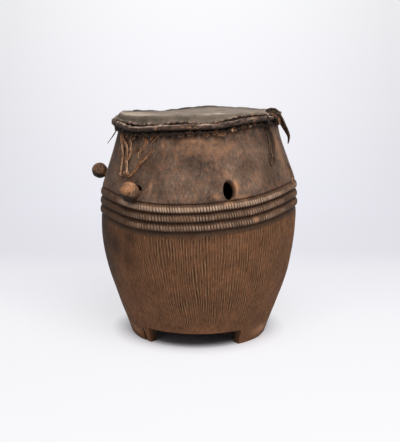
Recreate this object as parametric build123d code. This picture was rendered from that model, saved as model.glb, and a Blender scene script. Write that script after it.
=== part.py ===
from build123d import *
import math
import os

# A footed peg drum carved from one log. Millimetres and degrees, +Z up, origin on the floor under the axis.
# An azimuth is counted from the front, which is -Y, and grows to the right, which is +X.

# Shell
RIM_HEIGHT = 430.0  # floor to the middle of the sloping rim
RIM_RADIUS = 148.6  # outside, at the middle of the rim
RIM_WALL = 12.0
RIM_SLOPE = 3.0  # the rim is sawn out of level
RIM_HIGH_AZIMUTH = 20.0
RIM_ROUNDING = 3.0
SHOULDER_HEIGHT = 292.5  # where the flank meets the banded stretch
SHOULDER_RADIUS = 186.2
FLANK_HOLLOW = 2.9  # how far the flank bows in from a straight line
BELLY_HEIGHT = 233.0  # where the belly meets the banded stretch
BELLY_RADIUS = 189.8
TAPER_HEIGHT = 100.0  # below this the side is a straight taper
TAPER_RADIUS = 168.2
FOOT_RADIUS = 133.0
SHELL_WALL = 19.0
FOOT_WALL = 16.0

# Feet
FOOT_COUNT = 3
FOOT_HEIGHT = 32.0
FOOT_ANGLE = 42.0  # width of one foot round the axis
FOOT_AZIMUTH = -64.0  # middle of the first foot
FOOT_ROUNDING = 5.0  # in the corners under the base rim

# Carved bands, plain half-round ridges here
BAND_COUNT = 3
BAND_HEIGHT = 262.5  # middle of the bands
BAND_PITCH = 17.0
BAND_WIDTH = 14.0  # where a ridge springs from inside the wall
BAND_PROUD = 3.4  # above the shell's side
BAND_ROOT = 2.2  # depth in the wall where a ridge springs
BAND_SLOPE = 1.3  # the bands climb to the right

# Peg holes, bored by eye, each with its own middle on the flank
HOLE_PLACES = ["left", "left_front", "right_front", "right", "rear_right", "rear_left"]
HOLE_AZIMUTHS = [-102.0, -38.5, 18.0, 75.0, 138.0, 198.0]
HOLE_HEIGHTS = [311.0, 309.0, 313.0, 321.0, 316.0, 309.0]
HOLE_WIDTH = 21.5
HOLE_LENGTH = 34.0
HOLE_RISE_ANGLE = 20.0  # the holes climb outward

# Pegs that are left in their holes
PEG_PLACES = ["left", "left_front", "rear_right", "rear_left"]
PEG_HEAD_DIAMETERS = [32.0, 38.0, 35.0, 34.0]
PEG_STAND_OFFS = [5.5, 1.5, 7.0, 4.0]  # from the hole to the ball
SHANK_DIAMETER = 17.0
SHANK_LENGTH = 70.0  # from the ball to the tip
SHANK_STRAIGHT = 38.0  # length of the shank that isn't tapered
TIP_DIAMETER = 12.0
TIP_ROUNDING = 4.0
PEG_CLEARANCE = 0.3  # under the shank, where it lies in its hole

# Head and hoop
HIDE_THICKNESS = 2.0
HOOP_DIAMETER = 6.4
HOOP_CLEARANCE = 0.2  # between the hoop and the hide round it
HOOP_OFFSET = 12.9  # from the rim's outside to the middle of the hoop
HOOP_DROP = 12.0  # from the rim down to the middle of the hoop
HEAD_OVERHANG = 3.4  # from the rim's outside to the bend of the hide
HEAD_BEND = 5.0
HIDE_LAP_ANGLE = 290.0  # how far the hide goes round the hoop
SEAT_CLEARANCE = 0.05  # between the rim and the hide

# Lacing under the hoop
LACING_DIAMETER = 3.6
LACING_WAVES = 24
LACING_DEPTH = 7.0  # from the top to the bottom of a wave
LACING_CLEARANCE = 0.4  # between the lacing and the hide's roll
LACING_STAND_OFF = 1.9  # from the flank to the lacing, on the rim's low side

# Lashing remains on the flank. Depths are counted down from the middle of the rim.
THONG_DIAMETER = 4.0
TAIL_DIAMETER = 2.6
FLANK_CLEARANCE = 0.6  # between a thong and the flank
TAB_WIDTH = 10.0
TAB_LENGTH = 26.0
TAB_THICKNESS = 2.4
TAB_AZIMUTH = -30.5
TAB_DEPTH = 27.5
TAB_LEAN_ANGLE = 40.0  # from upright
LOOP_AZIMUTHS = [-67.0, -61.5, -54.5, -53.2, -50.4, -46.4, -43.0, -39.0, -33.5, -29.5]
LOOP_DEPTHS = [21.0, 38.0, 55.0, 75.0, 94.0, 101.5, 93.0, 76.0, 60.0, 48.0]
HAIRPIN_AZIMUTHS = [-70.5, -65.2, -59.8, -57.6, -56.8, -56.7, -55.1, -53.5, -53.3]
HAIRPIN_DEPTHS = [24.0, 39.0, 57.0, 75.0, 89.5, 98.8, 101.9, 98.8, 93.4]
STRAND_AZIMUTHS = [-50.5, -50.4, -48.6, -49.9, -49.6]
STRAND_DEPTHS = [20.0, 35.0, 52.0, 68.0, 80.0]
TAIL_AZIMUTHS = [-40.6, -37.8, -37.6, -40.2, -42.0]
TAIL_DEPTHS = [21.0, 31.0, 44.0, 56.0, 66.0]
RIGHT_LOOP_AZIMUTHS = [52.8, 55.0, 55.6, 53.6, 51.5, 51.1, 52.8, 54.5, 55.0, 57.6, 60.0, 60.0, 57.6]
RIGHT_LOOP_DEPTHS = [16.0, 27.0, 42.0, 58.0, 71.5, 80.7, 83.8, 80.7, 71.5, 58.5, 43.0, 28.0, 17.0]
LEFT_TAIL_AZIMUTHS = [-88.0, -89.0, -90.0, -91.0]
LEFT_TAIL_DEPTHS = [32.5, 41.5, 51.0, 60.0]
LEFT_TAIL_STAND_OFFS = [0.0, 3.6, 8.0, 12.4]  # this end stands away from the flank

# Stiff hide flap: it lies on the head, goes over the hoop and hangs outside it
FLAP_WIDTH = 14.0
FLAP_THICKNESS = 3.0
FLAP_AZIMUTH = 80.0
FLAP_CLEARANCE = 0.6  # between the flap and the head
FLAP_LAP = 12.0  # how far it reaches in over the head
FLAP_SPREAD = [1.5, 6.0, 8.5, 7.0]  # away from the hide's roll, from the hoop down
FLAP_DEPTHS = [-5.0, 12.0, 28.0, 42.0]  # below the hoop
FLAP_BENDS = [8.0, 7.0, 14.0, 25.0, 22.0]


def on_circle(radius, azimuth, height):
    """The point at an azimuth and height, that far from the shell's axis."""
    turn = math.radians(azimuth)
    return Vector(radius * math.sin(turn), -radius * math.cos(turn), height)


def flank_radius(height):
    """Outer radius of the hollow flank, an arc through the shoulder and the rim."""
    rise = RIM_HEIGHT - SHOULDER_HEIGHT
    fall = SHOULDER_RADIUS - RIM_RADIUS
    chord = math.hypot(rise, fall)
    arc = (chord**2 / 4 + FLANK_HOLLOW**2) / (2 * FLANK_HOLLOW)
    reach = arc - FLANK_HOLLOW
    middle_radius = (SHOULDER_RADIUS + RIM_RADIUS) / 2 + reach * rise / chord
    middle_height = (SHOULDER_HEIGHT + RIM_HEIGHT) / 2 + reach * fall / chord
    return middle_radius - math.sqrt(arc**2 - (height - middle_height) ** 2)


def flank_plane(azimuth, height, rise):
    """A plane on the flank that looks outward and climbs by that angle."""
    slope = math.radians(rise)
    outward = on_circle(math.cos(slope), azimuth, math.sin(slope))
    across = on_circle(1, azimuth + 90, 0)
    return Plane(origin=on_circle(flank_radius(height), azimuth, height), x_dir=across, z_dir=outward)


def turned_round(lines):
    """Revolves a closed outline of radius and height round the shell's axis."""
    return revolve(Plane.XZ * make_face(lines), axis=Axis.Z)


def tilted_to_rim(shape):
    """Turns a piece that was made level at the rim onto the sloping rim."""
    high = math.radians(RIM_HIGH_AZIMUTH)
    hinge = Axis((0, 0, RIM_HEIGHT), (-math.cos(high), -math.sin(high), 0))
    return shape.rotate(hinge, RIM_SLOPE)


def make_blank():
    """The hollow barrel, higher than the rim, before it is carved."""
    top = RIM_HEIGHT + 2 * RIM_RADIUS * math.tan(math.radians(RIM_SLOPE))
    middle = (SHOULDER_HEIGHT + top) / 2
    taper = (TAPER_RADIUS - FOOT_RADIUS, TAPER_HEIGHT)
    outside = [
        Line((FOOT_RADIUS, 0), (TAPER_RADIUS, TAPER_HEIGHT)),
        TangentArc((TAPER_RADIUS, TAPER_HEIGHT), (BELLY_RADIUS, BELLY_HEIGHT), tangent=taper),
        Line((BELLY_RADIUS, BELLY_HEIGHT), (SHOULDER_RADIUS, SHOULDER_HEIGHT)),
        ThreePointArc(
            (SHOULDER_RADIUS, SHOULDER_HEIGHT), (flank_radius(middle), middle), (flank_radius(top), top)
        ),
    ]
    foot_inside = FOOT_RADIUS - FOOT_WALL
    taper_inside = TAPER_RADIUS - SHELL_WALL
    belly_inside = BELLY_RADIUS - SHELL_WALL
    inner_taper = (taper_inside - foot_inside, TAPER_HEIGHT)
    inside = [
        Line((flank_radius(top), top), (flank_radius(top) - RIM_WALL, top)),
        Line((flank_radius(top) - RIM_WALL, top), (SHOULDER_RADIUS - SHELL_WALL, SHOULDER_HEIGHT)),
        Line((SHOULDER_RADIUS - SHELL_WALL, SHOULDER_HEIGHT), (belly_inside, BELLY_HEIGHT)),
        TangentArc((taper_inside, TAPER_HEIGHT), (belly_inside, BELLY_HEIGHT), tangent=inner_taper),
        Line((taper_inside, TAPER_HEIGHT), (foot_inside, 0)),
        Line((foot_inside, 0), (FOOT_RADIUS, 0)),
    ]
    return turned_round(outside + inside)


def make_bands():
    """The ridges round the belly, as tilted rings."""
    hinge = Axis((0, 0, BAND_HEIGHT), (0, -1, 0))
    rings = []
    for number in range(BAND_COUNT):
        height = BAND_HEIGHT + (number - (BAND_COUNT - 1) / 2) * BAND_PITCH
        share = (height - BELLY_HEIGHT) / (SHOULDER_HEIGHT - BELLY_HEIGHT)
        side = BELLY_RADIUS + share * (SHOULDER_RADIUS - BELLY_RADIUS)
        low = (side - BAND_ROOT, height - BAND_WIDTH / 2)
        high = (side - BAND_ROOT, height + BAND_WIDTH / 2)
        ridge = [ThreePointArc(low, (side + BAND_PROUD, height), high), Line(high, low)]
        rings.append(turned_round(ridge).rotate(hinge, BAND_SLOPE))
    return rings


def make_foot_gap(number):
    """The space between one foot and the next, rounded in its upper corners."""
    pitch = 360 / FOOT_COUNT
    start = FOOT_AZIMUTH + number * pitch + FOOT_ANGLE / 2
    width = pitch - FOOT_ANGLE
    near = (FOOT_RADIUS - FOOT_WALL) / 2
    far = TAPER_RADIUS + FOOT_WALL
    edge = Polyline(
        on_circle(near, start, 0),
        on_circle(far, start, 0),
        on_circle(far / math.cos(math.radians(width / 2)), start + width / 2, 0),
        on_circle(far, start + width, 0),
        on_circle(near, start + width, 0),
        close=True,
    )
    gap = extrude(make_face(edge), amount=FOOT_HEIGHT, dir=(0, 0, 1))
    sides = [on_circle((near + far) / 2, azimuth, FOOT_HEIGHT) for azimuth in (start, start + width)]
    corners = [min(gap.edges(), key=lambda e: (e.center() - place).length) for place in sides]
    return fillet(corners, radius=FOOT_ROUNDING)


def hole_plane(place):
    """The mouth of one peg hole."""
    number = HOLE_PLACES.index(place)
    return flank_plane(HOLE_AZIMUTHS[number], HOLE_HEIGHTS[number], HOLE_RISE_ANGLE)


def make_hole(place):
    """The cutter of one oval peg hole."""
    oval = SlotOverall(HOLE_LENGTH, HOLE_WIDTH, rotation=90)
    return extrude(hole_plane(place) * oval, amount=2 * SHELL_WALL, both=True)


def make_shell():
    """The carved log, its rim sawn on the slope."""
    high = math.radians(RIM_HIGH_AZIMUTH)
    slope = math.radians(RIM_SLOPE)
    lean = (-math.sin(high) * math.sin(slope), math.cos(high) * math.sin(slope), math.cos(slope))
    shell = split(make_blank(), bisect_by=Plane(origin=(0, 0, RIM_HEIGHT), z_dir=lean), keep=Keep.BOTTOM)
    rim = sorted(shell.edges(), key=lambda e: e.bounding_box().max.Z)[-2:]
    shell = fillet(max(rim, key=lambda e: e.length), radius=RIM_ROUNDING)
    shell = shell + make_bands()
    shell = shell - [make_foot_gap(number) for number in range(FOOT_COUNT)]
    return shell - [make_hole(place) for place in HOLE_PLACES]


def make_peg(place):
    """A turned peg, lying on the lower end of its hole."""
    number = PEG_PLACES.index(place)
    ball = PEG_HEAD_DIAMETERS[number] / 2
    shank = SHANK_DIAMETER / 2
    neck = math.sqrt(ball**2 - shank**2)
    tip = neck + SHANK_LENGTH
    peg = turned_round(
        [
            ThreePointArc((0, ball), (ball, 0), (shank, -neck)),
            Line((shank, -neck), (shank, -neck - SHANK_STRAIGHT)),
            Polyline((shank, -neck - SHANK_STRAIGHT), (TIP_DIAMETER / 2, -tip), (0, -tip), (0, ball)),
        ]
    )
    peg = fillet(peg.edges().sort_by(Axis.Z)[0], radius=TIP_ROUNDING)
    low = HOLE_LENGTH / 2 - shank - PEG_CLEARANCE
    return hole_plane(place) * Pos(0, -low, PEG_STAND_OFFS[number] + neck) * peg


def roll_radius():
    """Outer radius of the hide's roll round the hoop."""
    return HOOP_DIAMETER / 2 + HOOP_CLEARANCE + HIDE_THICKNESS


def hoop_radius():
    """From the shell's axis to the middle of the hoop."""
    return RIM_RADIUS + HOOP_OFFSET


def make_head():
    """The hide: flat over the rim, down its outside and round the hoop."""
    half = HIDE_THICKNESS / 2
    level = RIM_HEIGHT + SEAT_CLEARANCE + half
    middle = (hoop_radius(), RIM_HEIGHT - HOOP_DROP)
    lap = roll_radius() - half
    bend = (RIM_RADIUS + HEAD_OVERHANG, level)
    turn_in = (middle[0] - lap, middle[1] + lap)
    under = (middle[0] - lap, middle[1])
    skirt = FilletPolyline((0, level), bend, turn_in, under, radius=[HEAD_BEND, lap / 2])
    wrap = CenterArc(middle, lap, 180, HIDE_LAP_ANGLE)
    section = trace(skirt.edges() + wrap.edges(), line_width=HIDE_THICKNESS)
    return tilted_to_rim(revolve(Plane.XZ * section, axis=Axis.Z))


def make_hoop():
    """The bent vine ring inside the hide's roll."""
    ring = Pos(hoop_radius(), RIM_HEIGHT - HOOP_DROP) * Circle(HOOP_DIAMETER / 2)
    return tilted_to_rim(revolve(Plane.XZ * ring, axis=Axis.Z))


def tube(name, corners, diameter):
    """A thong: straight runs joined by the largest arcs that they leave room for."""
    runs = [(b - a).length for a, b in zip(corners, corners[1:])]
    radii = []
    for number in range(1, len(corners) - 1):
        before = corners[number] - corners[number - 1]
        after = corners[number + 1] - corners[number]
        turn = math.radians(before.get_angle(after))
        shorter = min(runs[number - 1], runs[number])
        radii.append(0.45 * shorter / math.tan(turn / 2))
    path = FilletPolyline(*corners, radius=radii)
    thong = sweep(Plane(origin=path @ 0, z_dir=path % 0) * Circle(diameter / 2), path=path)
    share = thong.volume / (math.pi * diameter**2 / 4 * path.length)
    print(f"{name}: length {path.length:.1f}, least radius {min(radii):.1f}, volume share {share:.4f}")
    return thong


def make_thong(name, azimuths, depths, diameter, stand_offs=None):
    """A thong that lies on the flank, or stands off it by the given amounts."""
    away = diameter / 2 + FLANK_CLEARANCE
    corners = []
    for azimuth, depth, out in zip(azimuths, depths, stand_offs or [0] * len(depths)):
        height = RIM_HEIGHT - depth
        corners.append(on_circle(flank_radius(height) + away + out, azimuth, height))
    return tube(name, corners, diameter)


def make_lacing():
    """The lacing that hangs in waves under the hoop, open where its ends were tied."""
    top = HOOP_DROP + roll_radius() + LACING_CLEARANCE + LACING_DIAMETER / 2
    slope = math.sin(math.radians(RIM_SLOPE))
    lowest = top + LACING_DEPTH + RIM_RADIUS * slope
    away = (top + LACING_DEPTH) * slope + LACING_STAND_OFF + LACING_DIAMETER / 2
    radius = flank_radius(RIM_HEIGHT - lowest) + away
    step = 180 / LACING_WAVES
    corners = []
    for number in range(2 * LACING_WAVES):
        drop = top + LACING_DEPTH * (number % 2)
        corners.append(on_circle(radius, 180 + number * step, RIM_HEIGHT - drop))
    return tilted_to_rim(tube("lacing_thong", corners, LACING_DIAMETER))


def make_tab():
    """A flat strip of hide that hangs from the lacing and lies on the flank."""
    height = RIM_HEIGHT - TAB_DEPTH
    half = TAB_LENGTH / 2
    fall = flank_radius(height - half) - flank_radius(height + half)
    seat = flank_plane(TAB_AZIMUTH, height, math.degrees(math.atan2(fall, TAB_LENGTH)))
    lift = FLANK_CLEARANCE + TAB_THICKNESS / 2
    return seat * Pos(0, 0, lift) * Rot(0, 0, -TAB_LEAN_ANGLE) * Box(TAB_WIDTH, TAB_LENGTH, TAB_THICKNESS)


def make_flap():
    """A stiff strap end that curls from the head over the hoop and hangs outside it."""
    half = FLAP_THICKNESS / 2
    on_head = RIM_HEIGHT + SEAT_CLEARANCE + HIDE_THICKNESS + FLAP_CLEARANCE + half
    edge = RIM_RADIUS + HEAD_OVERHANG
    over = hoop_radius() + roll_radius() + FLAP_CLEARANCE + half
    corners = [(edge - FLAP_LAP, on_head), (edge, on_head + FLAP_CLEARANCE)]
    corners.append((hoop_radius() + half, on_head - half))
    for out, depth in zip(FLAP_SPREAD, FLAP_DEPTHS):
        corners.append((over + out, RIM_HEIGHT - HOOP_DROP - depth))
    curl = FilletPolyline(*corners, radius=FLAP_BENDS)
    strip = extrude(Plane.XZ * trace(curl, line_width=FLAP_THICKNESS), amount=FLAP_WIDTH / 2, both=True)
    return tilted_to_rim(strip.rotate(Axis.Z, FLAP_AZIMUTH - 90))


os.makedirs("parts", exist_ok=True)
pieces = {
    "drum_shell": make_shell(),
    "drum_head": make_head(),
    "head_hoop": make_hoop(),
    "lacing_thong": make_lacing(),
    "lashing_loop": make_thong("lashing_loop", LOOP_AZIMUTHS, LOOP_DEPTHS, THONG_DIAMETER),
    "lashing_hairpin": make_thong("lashing_hairpin", HAIRPIN_AZIMUTHS, HAIRPIN_DEPTHS, THONG_DIAMETER),
    "lashing_strand": make_thong("lashing_strand", STRAND_AZIMUTHS, STRAND_DEPTHS, THONG_DIAMETER),
    "lashing_tail": make_thong("lashing_tail", TAIL_AZIMUTHS, TAIL_DEPTHS, THONG_DIAMETER),
    "lashing_tab": make_tab(),
    "thong_loop_right": make_thong(
        "thong_loop_right", RIGHT_LOOP_AZIMUTHS, RIGHT_LOOP_DEPTHS, THONG_DIAMETER
    ),
    "thong_tail_left": make_thong(
        "thong_tail_left", LEFT_TAIL_AZIMUTHS, LEFT_TAIL_DEPTHS, TAIL_DIAMETER, LEFT_TAIL_STAND_OFFS
    ),
    "hide_flap": make_flap(),
}
for peg_place in PEG_PLACES:
    pieces[f"peg_{peg_place}"] = make_peg(peg_place)
for piece_name, piece in pieces.items():
    print(piece_name, len(piece.solids()), piece.is_valid, round(piece.volume / 1000, 2))
    export_step(piece, f"parts/{piece_name}.step")
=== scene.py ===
import math
import bpy
import numpy as np
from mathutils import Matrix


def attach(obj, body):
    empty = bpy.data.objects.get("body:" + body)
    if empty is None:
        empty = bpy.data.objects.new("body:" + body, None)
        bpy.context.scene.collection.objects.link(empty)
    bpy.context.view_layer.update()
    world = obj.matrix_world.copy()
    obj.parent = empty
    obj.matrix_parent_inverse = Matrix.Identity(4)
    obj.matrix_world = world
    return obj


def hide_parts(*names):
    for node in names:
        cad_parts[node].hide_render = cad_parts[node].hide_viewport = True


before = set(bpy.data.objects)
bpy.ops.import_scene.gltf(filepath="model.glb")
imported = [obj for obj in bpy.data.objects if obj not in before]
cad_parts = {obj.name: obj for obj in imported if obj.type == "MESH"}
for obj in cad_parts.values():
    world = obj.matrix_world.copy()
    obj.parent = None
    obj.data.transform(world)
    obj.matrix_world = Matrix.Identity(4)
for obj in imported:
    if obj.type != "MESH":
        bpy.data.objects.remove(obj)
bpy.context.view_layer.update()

# The shell: one log, hollowed and carved by hand into a barrel on three feet. Three rope bands and combed
# flutes are cut into its side, and six oval peg holes through its flank. Old wood with a dark handled patina.
MM = 0.001  # metres
RIM_HEIGHT = 430.0  # mm, floor to the middle of the sloping rim
RIM_OUTSIDE, RIM_INSIDE = 148.6, 137.0
RIM_SLOPE = math.radians(3)
HIGH_SIDE = 20  # azimuth of the rim's highest place
SPLIT_AZIMUTH = -48.8  # the drying split in the left foot
MM_PER_DEGREE = 3.1  # along the flank
HOOP_RADIUS, HOOP_HEIGHT = 161.5, 418


def on_circle(radius, azimuth, height):
    """Points round the axis, in mm. Azimuth 0 is the front, -Y, and 90 the right, +X."""
    turn = np.radians(azimuth)
    return np.stack(np.broadcast_arrays(radius * np.sin(turn), -radius * np.cos(turn), height), -1)


def smooth(value, low, high):
    """0 below low, 1 above high, eased between them."""
    share = np.clip((np.asarray(value, float) - low) / (high - low), 0, 1)
    return share * share * (3 - 2 * share)


def uneven(points, size, seed, stretch=(1, 1, 1)):
    """Seeded unevenness of about -1 to 1 over points in mm, in lumps of about that size."""
    dice = np.random.default_rng(seed)
    total = np.zeros(points.shape[:-1])
    for _ in range(18):
        way = dice.normal(size=3)
        way /= np.linalg.norm(way) * size * dice.uniform(0.6, 1.7) * np.array(stretch)
        total += np.cos(2 * math.pi * (points @ way + dice.uniform()))
    return total / 4


def around(azimuth, places):
    """A value round the drum, interpolated between (azimuth, value) places."""
    wheres, values = zip(*places)
    return np.interp(azimuth, wheres, values, period=360)


def flank_radius(height):
    """Outside of the hollow flank, an arc through the shoulder and the rim."""
    rise, fall, hollow = 137.5, 37.6, 2.9
    middle_radius, middle_height = 167.4, 361.25
    chord = math.hypot(rise, fall)
    arc = (chord**2 / 4 + hollow**2) / (2 * hollow)
    reach = arc - hollow
    off_middle = height - middle_height - reach * fall / chord
    return middle_radius + reach * rise / chord - np.sqrt(arc**2 - off_middle**2)


def side_radius(height):
    """Outside of the shell from the floor to the rim, before it is carved."""
    height = np.asarray(height, float)
    cone_top, belly_top, shoulder = 100, 233, 292.5
    arc, arc_out, arc_height = 381.6, -191.7, 226.7
    belly = arc_out + np.sqrt(arc**2 - (np.clip(height, cone_top, belly_top) - arc_height) ** 2)
    side = np.where(height < cone_top, 133 + 0.352 * height, belly)
    side = np.where(height > belly_top, 189.8 - 3.6 * (height - belly_top) / (shoulder - belly_top), side)
    return np.where(height > shoulder, flank_radius(np.maximum(height, shoulder)), side)


def band_climb(azimuth):
    """How far the hand-cut bands wander up from their level."""
    return around(azimuth, [
        (-140, 2), (-110, 0), (-86, 1), (-75, 4.5), (-65, 6), (-55, 4), (-45, 1), (-35, -1), (-25, -1.2), (-15, -0.4),
        (-5, 1.2), (5, 2.6), (15, 5.8), (25, 7.6), (35, 10.2), (45, 13.8), (55, 17), (65, 18.5), (75, 18), (86, 14),
        (110, 9), (140, 6), (180, 4),
    ])


def rim_climb(azimuth):
    """How far the worn rim, and the hide on it, stand above the sawn plane."""
    return around(azimuth, [
        (-163, -6), (-153, -8.5), (-147, -8), (-129, -3.2), (-104, 0.4), (-75, 1), (-58, 1.6), (-40, 3.8), (-29, 4.9),
        (-8, 7.2), (5, 7.8), (25, 7), (44, 5.1), (75, 0), (105, -3.9), (124, -4), (135, -3.7), (152, -3.4), (172, -1.6),
        (180, -1.2),
    ])


def rim_height(radius, azimuth):
    """The sloping rim plane with its wear."""
    plane = RIM_HEIGHT + radius * np.cos(np.radians(azimuth - HIGH_SIDE)) * math.tan(RIM_SLOPE)
    return plane + rim_climb(azimuth) * np.minimum(1, radius / 150) ** 2


def hoop_climb(azimuth):
    """How far the hoop, drawn down by its lashings, leaves its level ring."""
    return around(azimuth, [
        (-172, -1.5), (-163, -3.6), (-153, -5), (-147, -4.6), (-129, -2.2), (-112, 0), (-87, 0), (-62, -2.4), (-51, -5.7),
        (-42, -5.7), (-31, -3), (-24, -1.3), (-8, 0.4), (4, 0.8), (12, 0.6), (22, 4.5), (31, 7.5), (42, 8.7), (50, 8.8),
        (65, 6), (90, 3), (115, 0), (135, -2), (152, -2), (175, -1),
    ])


def near_bands(level):
    """1 at the bands, fading out toward the foot and the rim, so that the bands' wander dies away there."""
    return smooth(level, 110, 215) * (1 - smooth(level, 300, 405))


def climbed(level, azimuth):
    """Height of a carving level once the bands' wander and the rim's slope are in it."""
    to_rim = np.clip((level - 330) / 100, 0, 1) ** 2
    return level + band_climb(azimuth) * near_bands(level) + (rim_height(RIM_OUTSIDE, azimuth) - RIM_HEIGHT) * to_rim


def lower_edge(azimuth):
    """Height of the shell's bottom: 0 on the three feet, under the base rim between them."""
    foot_azimuth, half_foot, foot_mm_per_degree, rounding = -64, 21, 2.36, 5
    foot = (azimuth - foot_azimuth + 60) % 120 - 60
    gap = (np.abs(foot) - half_foot) * foot_mm_per_degree
    corner = np.clip(gap, 0, rounding)
    edge = np.where(gap > 0, 27 + np.sqrt(np.maximum(0, rounding**2 - (rounding - corner) ** 2)), 0)
    split = 25 * np.sqrt(np.clip(1 - np.abs(azimuth - SPLIT_AZIMUTH) / 1.4, 0, 1))
    return np.maximum(edge, split)


def grid_faces(rows, columns, wrap_rows):
    """Quads of a grid of points that is closed round its columns, and round its rows if asked."""
    row, column = np.meshgrid(np.arange(rows if wrap_rows else rows - 1), np.arange(columns), indexing="ij")
    across, up = (column + 1) % columns, (row + 1) % rows
    quads = [row * columns + column, row * columns + across, up * columns + across, up * columns + column]
    return np.stack(quads, -1).reshape(-1, 4)


def make_piece(name, points, faces, sharp=50):
    """A smooth-shaded mesh object from points in mm, with edges sharper than an angle kept."""
    mesh = bpy.data.meshes.new(name)
    mesh.from_pydata((np.asarray(points).reshape(-1, 3) * MM).tolist(), [], [list(map(int, face)) for face in faces])
    mesh.validate()
    mesh.shade_smooth()
    mesh.set_sharp_from_angle(angle=math.radians(sharp))
    piece = bpy.data.objects.new(name, mesh)
    bpy.context.scene.collection.objects.link(piece)
    return piece


def corners_mm(piece):
    """The mesh's points, in mm."""
    flat = np.empty(3 * len(piece.data.vertices))
    piece.data.vertices.foreach_get("co", flat)
    return flat.reshape(-1, 3) / MM


def paint(piece, name, values):
    """Keeps one number a point for the piece's material."""
    layer = piece.data.attributes.new(name, "FLOAT", "POINT")
    layer.data.foreach_set("value", np.asarray(values, dtype=np.float32).ravel())


CARVED = 240  # notches in a band, and flutes below them
COLUMNS = 4 * CARVED
FEET_TOP = 62  # the grid follows the feet up to here
BAND_MIDDLE, BAND_PITCH, BAND_HALF = 263.1, 17, 6.7
BANDS_FROM, BANDS_TO = 237, 288
HOLES = [(-102, 311), (-38.5, 309), (18, 313), (75, 321), (138, 316), (198, 309)]
RUBBED = {0: 1.0, 1: 1.0, 4: 1.9, 5: 1.2}  # holes with a peg, and how deep its ball has rubbed the flank
levels = np.concatenate([
    [0, 3, 8, 15, 23, 32, 42, 52], np.arange(FEET_TOP, 222, 8.5), np.arange(223, 291.5, 1.75),
    np.arange(293, RIM_HEIGHT, 6), [RIM_HEIGHT],
])
column = np.arange(COLUMNS)
base_azimuth = -180 + column * 360 / COLUMNS
level, azimuth = np.meshgrid(levels, base_azimuth, indexing="ij")
# columns follow the cuts: the notches lean back to the left, the flutes wander a little
lean = -0.25 * np.clip(level - 236, 0, 56)
lean = lean - 0.2 * np.sin((level - BANDS_FROM) / BAND_PITCH * 2 * math.pi) * smooth(level, 234, 240)
wander = 1.1 * uneven(on_circle(180.0, azimuth, level), 26, 3, (1, 1, 3)) * smooth(level, 25, 60)
stroke = -13 * np.exp(-(((azimuth + 30) / 16) ** 2)) - 5 * np.exp(-(((azimuth + 2) / 10) ** 2))
stroke = stroke * np.clip((level - 115) / 75, -1, 1.4) * smooth(level, 25, 60)
above = smooth(level, 286, 292)
azimuth = azimuth + (lean * (1 - above) - 14 * above + wander + stroke) / 3.3
height = climbed(level, azimuth)
low = lower_edge(base_azimuth)[None, :]
at_feet = level < FEET_TOP
height = np.where(at_feet, low + level / FEET_TOP * (FEET_TOP - low), height)
azimuth = np.where(at_feet, base_azimuth[None, :] + (azimuth - base_azimuth) * smooth(level, 10, FEET_TOP), azimuth)
radius = side_radius(np.where(at_feet, height, level))
# rope bands: rounded ridges, cut across by leaning notches that wear has smoothed at the left
step = np.array([0.6, 0.5, -1.4, 0.3])[column % 4][None, :]
gash = np.array([0.0, 0.2, 1.0, 0.35])[column % 4][None, :]
cut_depth = np.repeat(np.random.default_rng(11).uniform(0.65, 1.1, CARVED), 4)[None, :]
kept = around(base_azimuth, [
    (-160, 0.7), (-125, 0.35), (-95, 0.05), (-50, 0.08), (-40, 0.75), (-30, 1), (40, 1), (52, 0.75), (62, 0.4),
    (100, 0.6), (140, 0.8),
])[None, :]
kept = kept * (0.85 + 0.35 * uneven(on_circle(190.0, azimuth, height), 30, 5)).clip(0.62, 1.15)
proud = around(base_azimuth, [(-130, 3.6), (-95, 2.6), (-50, 2.9), (-35, 4.1), (60, 4.1), (100, 3.6)])[None, :]
off_crown = level - BAND_MIDDLE - BAND_PITCH * np.clip(np.round((level - BAND_MIDDLE) / BAND_PITCH), -1, 1)
ridge = np.sqrt(np.clip(1 - (off_crown / BAND_HALF) ** 2, 0, 1))
banded = smooth(level, BANDS_FROM - 1.5, BANDS_FROM + 1.5) * (1 - smooth(level, BANDS_TO - 1.5, BANDS_TO + 1.5))
radius = radius + banded * (proud * ridge - 1.3 * (1 - smooth(ridge, 0, 0.6)))
radius = radius + banded * step * kept * cut_depth * (0.5 + 0.45 * ridge)
radius = radius - 1.5 * np.exp(-(((level - 288.6) / 1.3) ** 2)) - 0.9 * np.exp(-(((level - 235.6) / 2.2) ** 2))
# painted shade: the groove under each band's crown is darkened more than the one above it
toothed = (1 - smooth(ridge, 0.15, 0.85)) * np.where(off_crown > 0, 0.3 + 0.7 * gash, 0.8 + 0.2 * gash)
cut = banded * np.maximum(toothed, gash * kept * cut_depth * (0.95 - 0.2 * ridge))
cut = np.maximum(cut, 0.85 * np.exp(-(((level - 288.8) / 1.1) ** 2)))
cut = np.maximum(cut, 0.7 * np.exp(-(((level - 236) / 2.4) ** 2)))
crown = banded * smooth(ridge, 0.55, 0.95) * (1 - 0.8 * gash * kept) * (0.1 + 0.9 * np.minimum(1, kept))
crown = crown * np.where(level > 271.5, 1.15, 0.6)
cut = cut * np.where((level > 273) & (level < 287), 0.42, 1)
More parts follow.
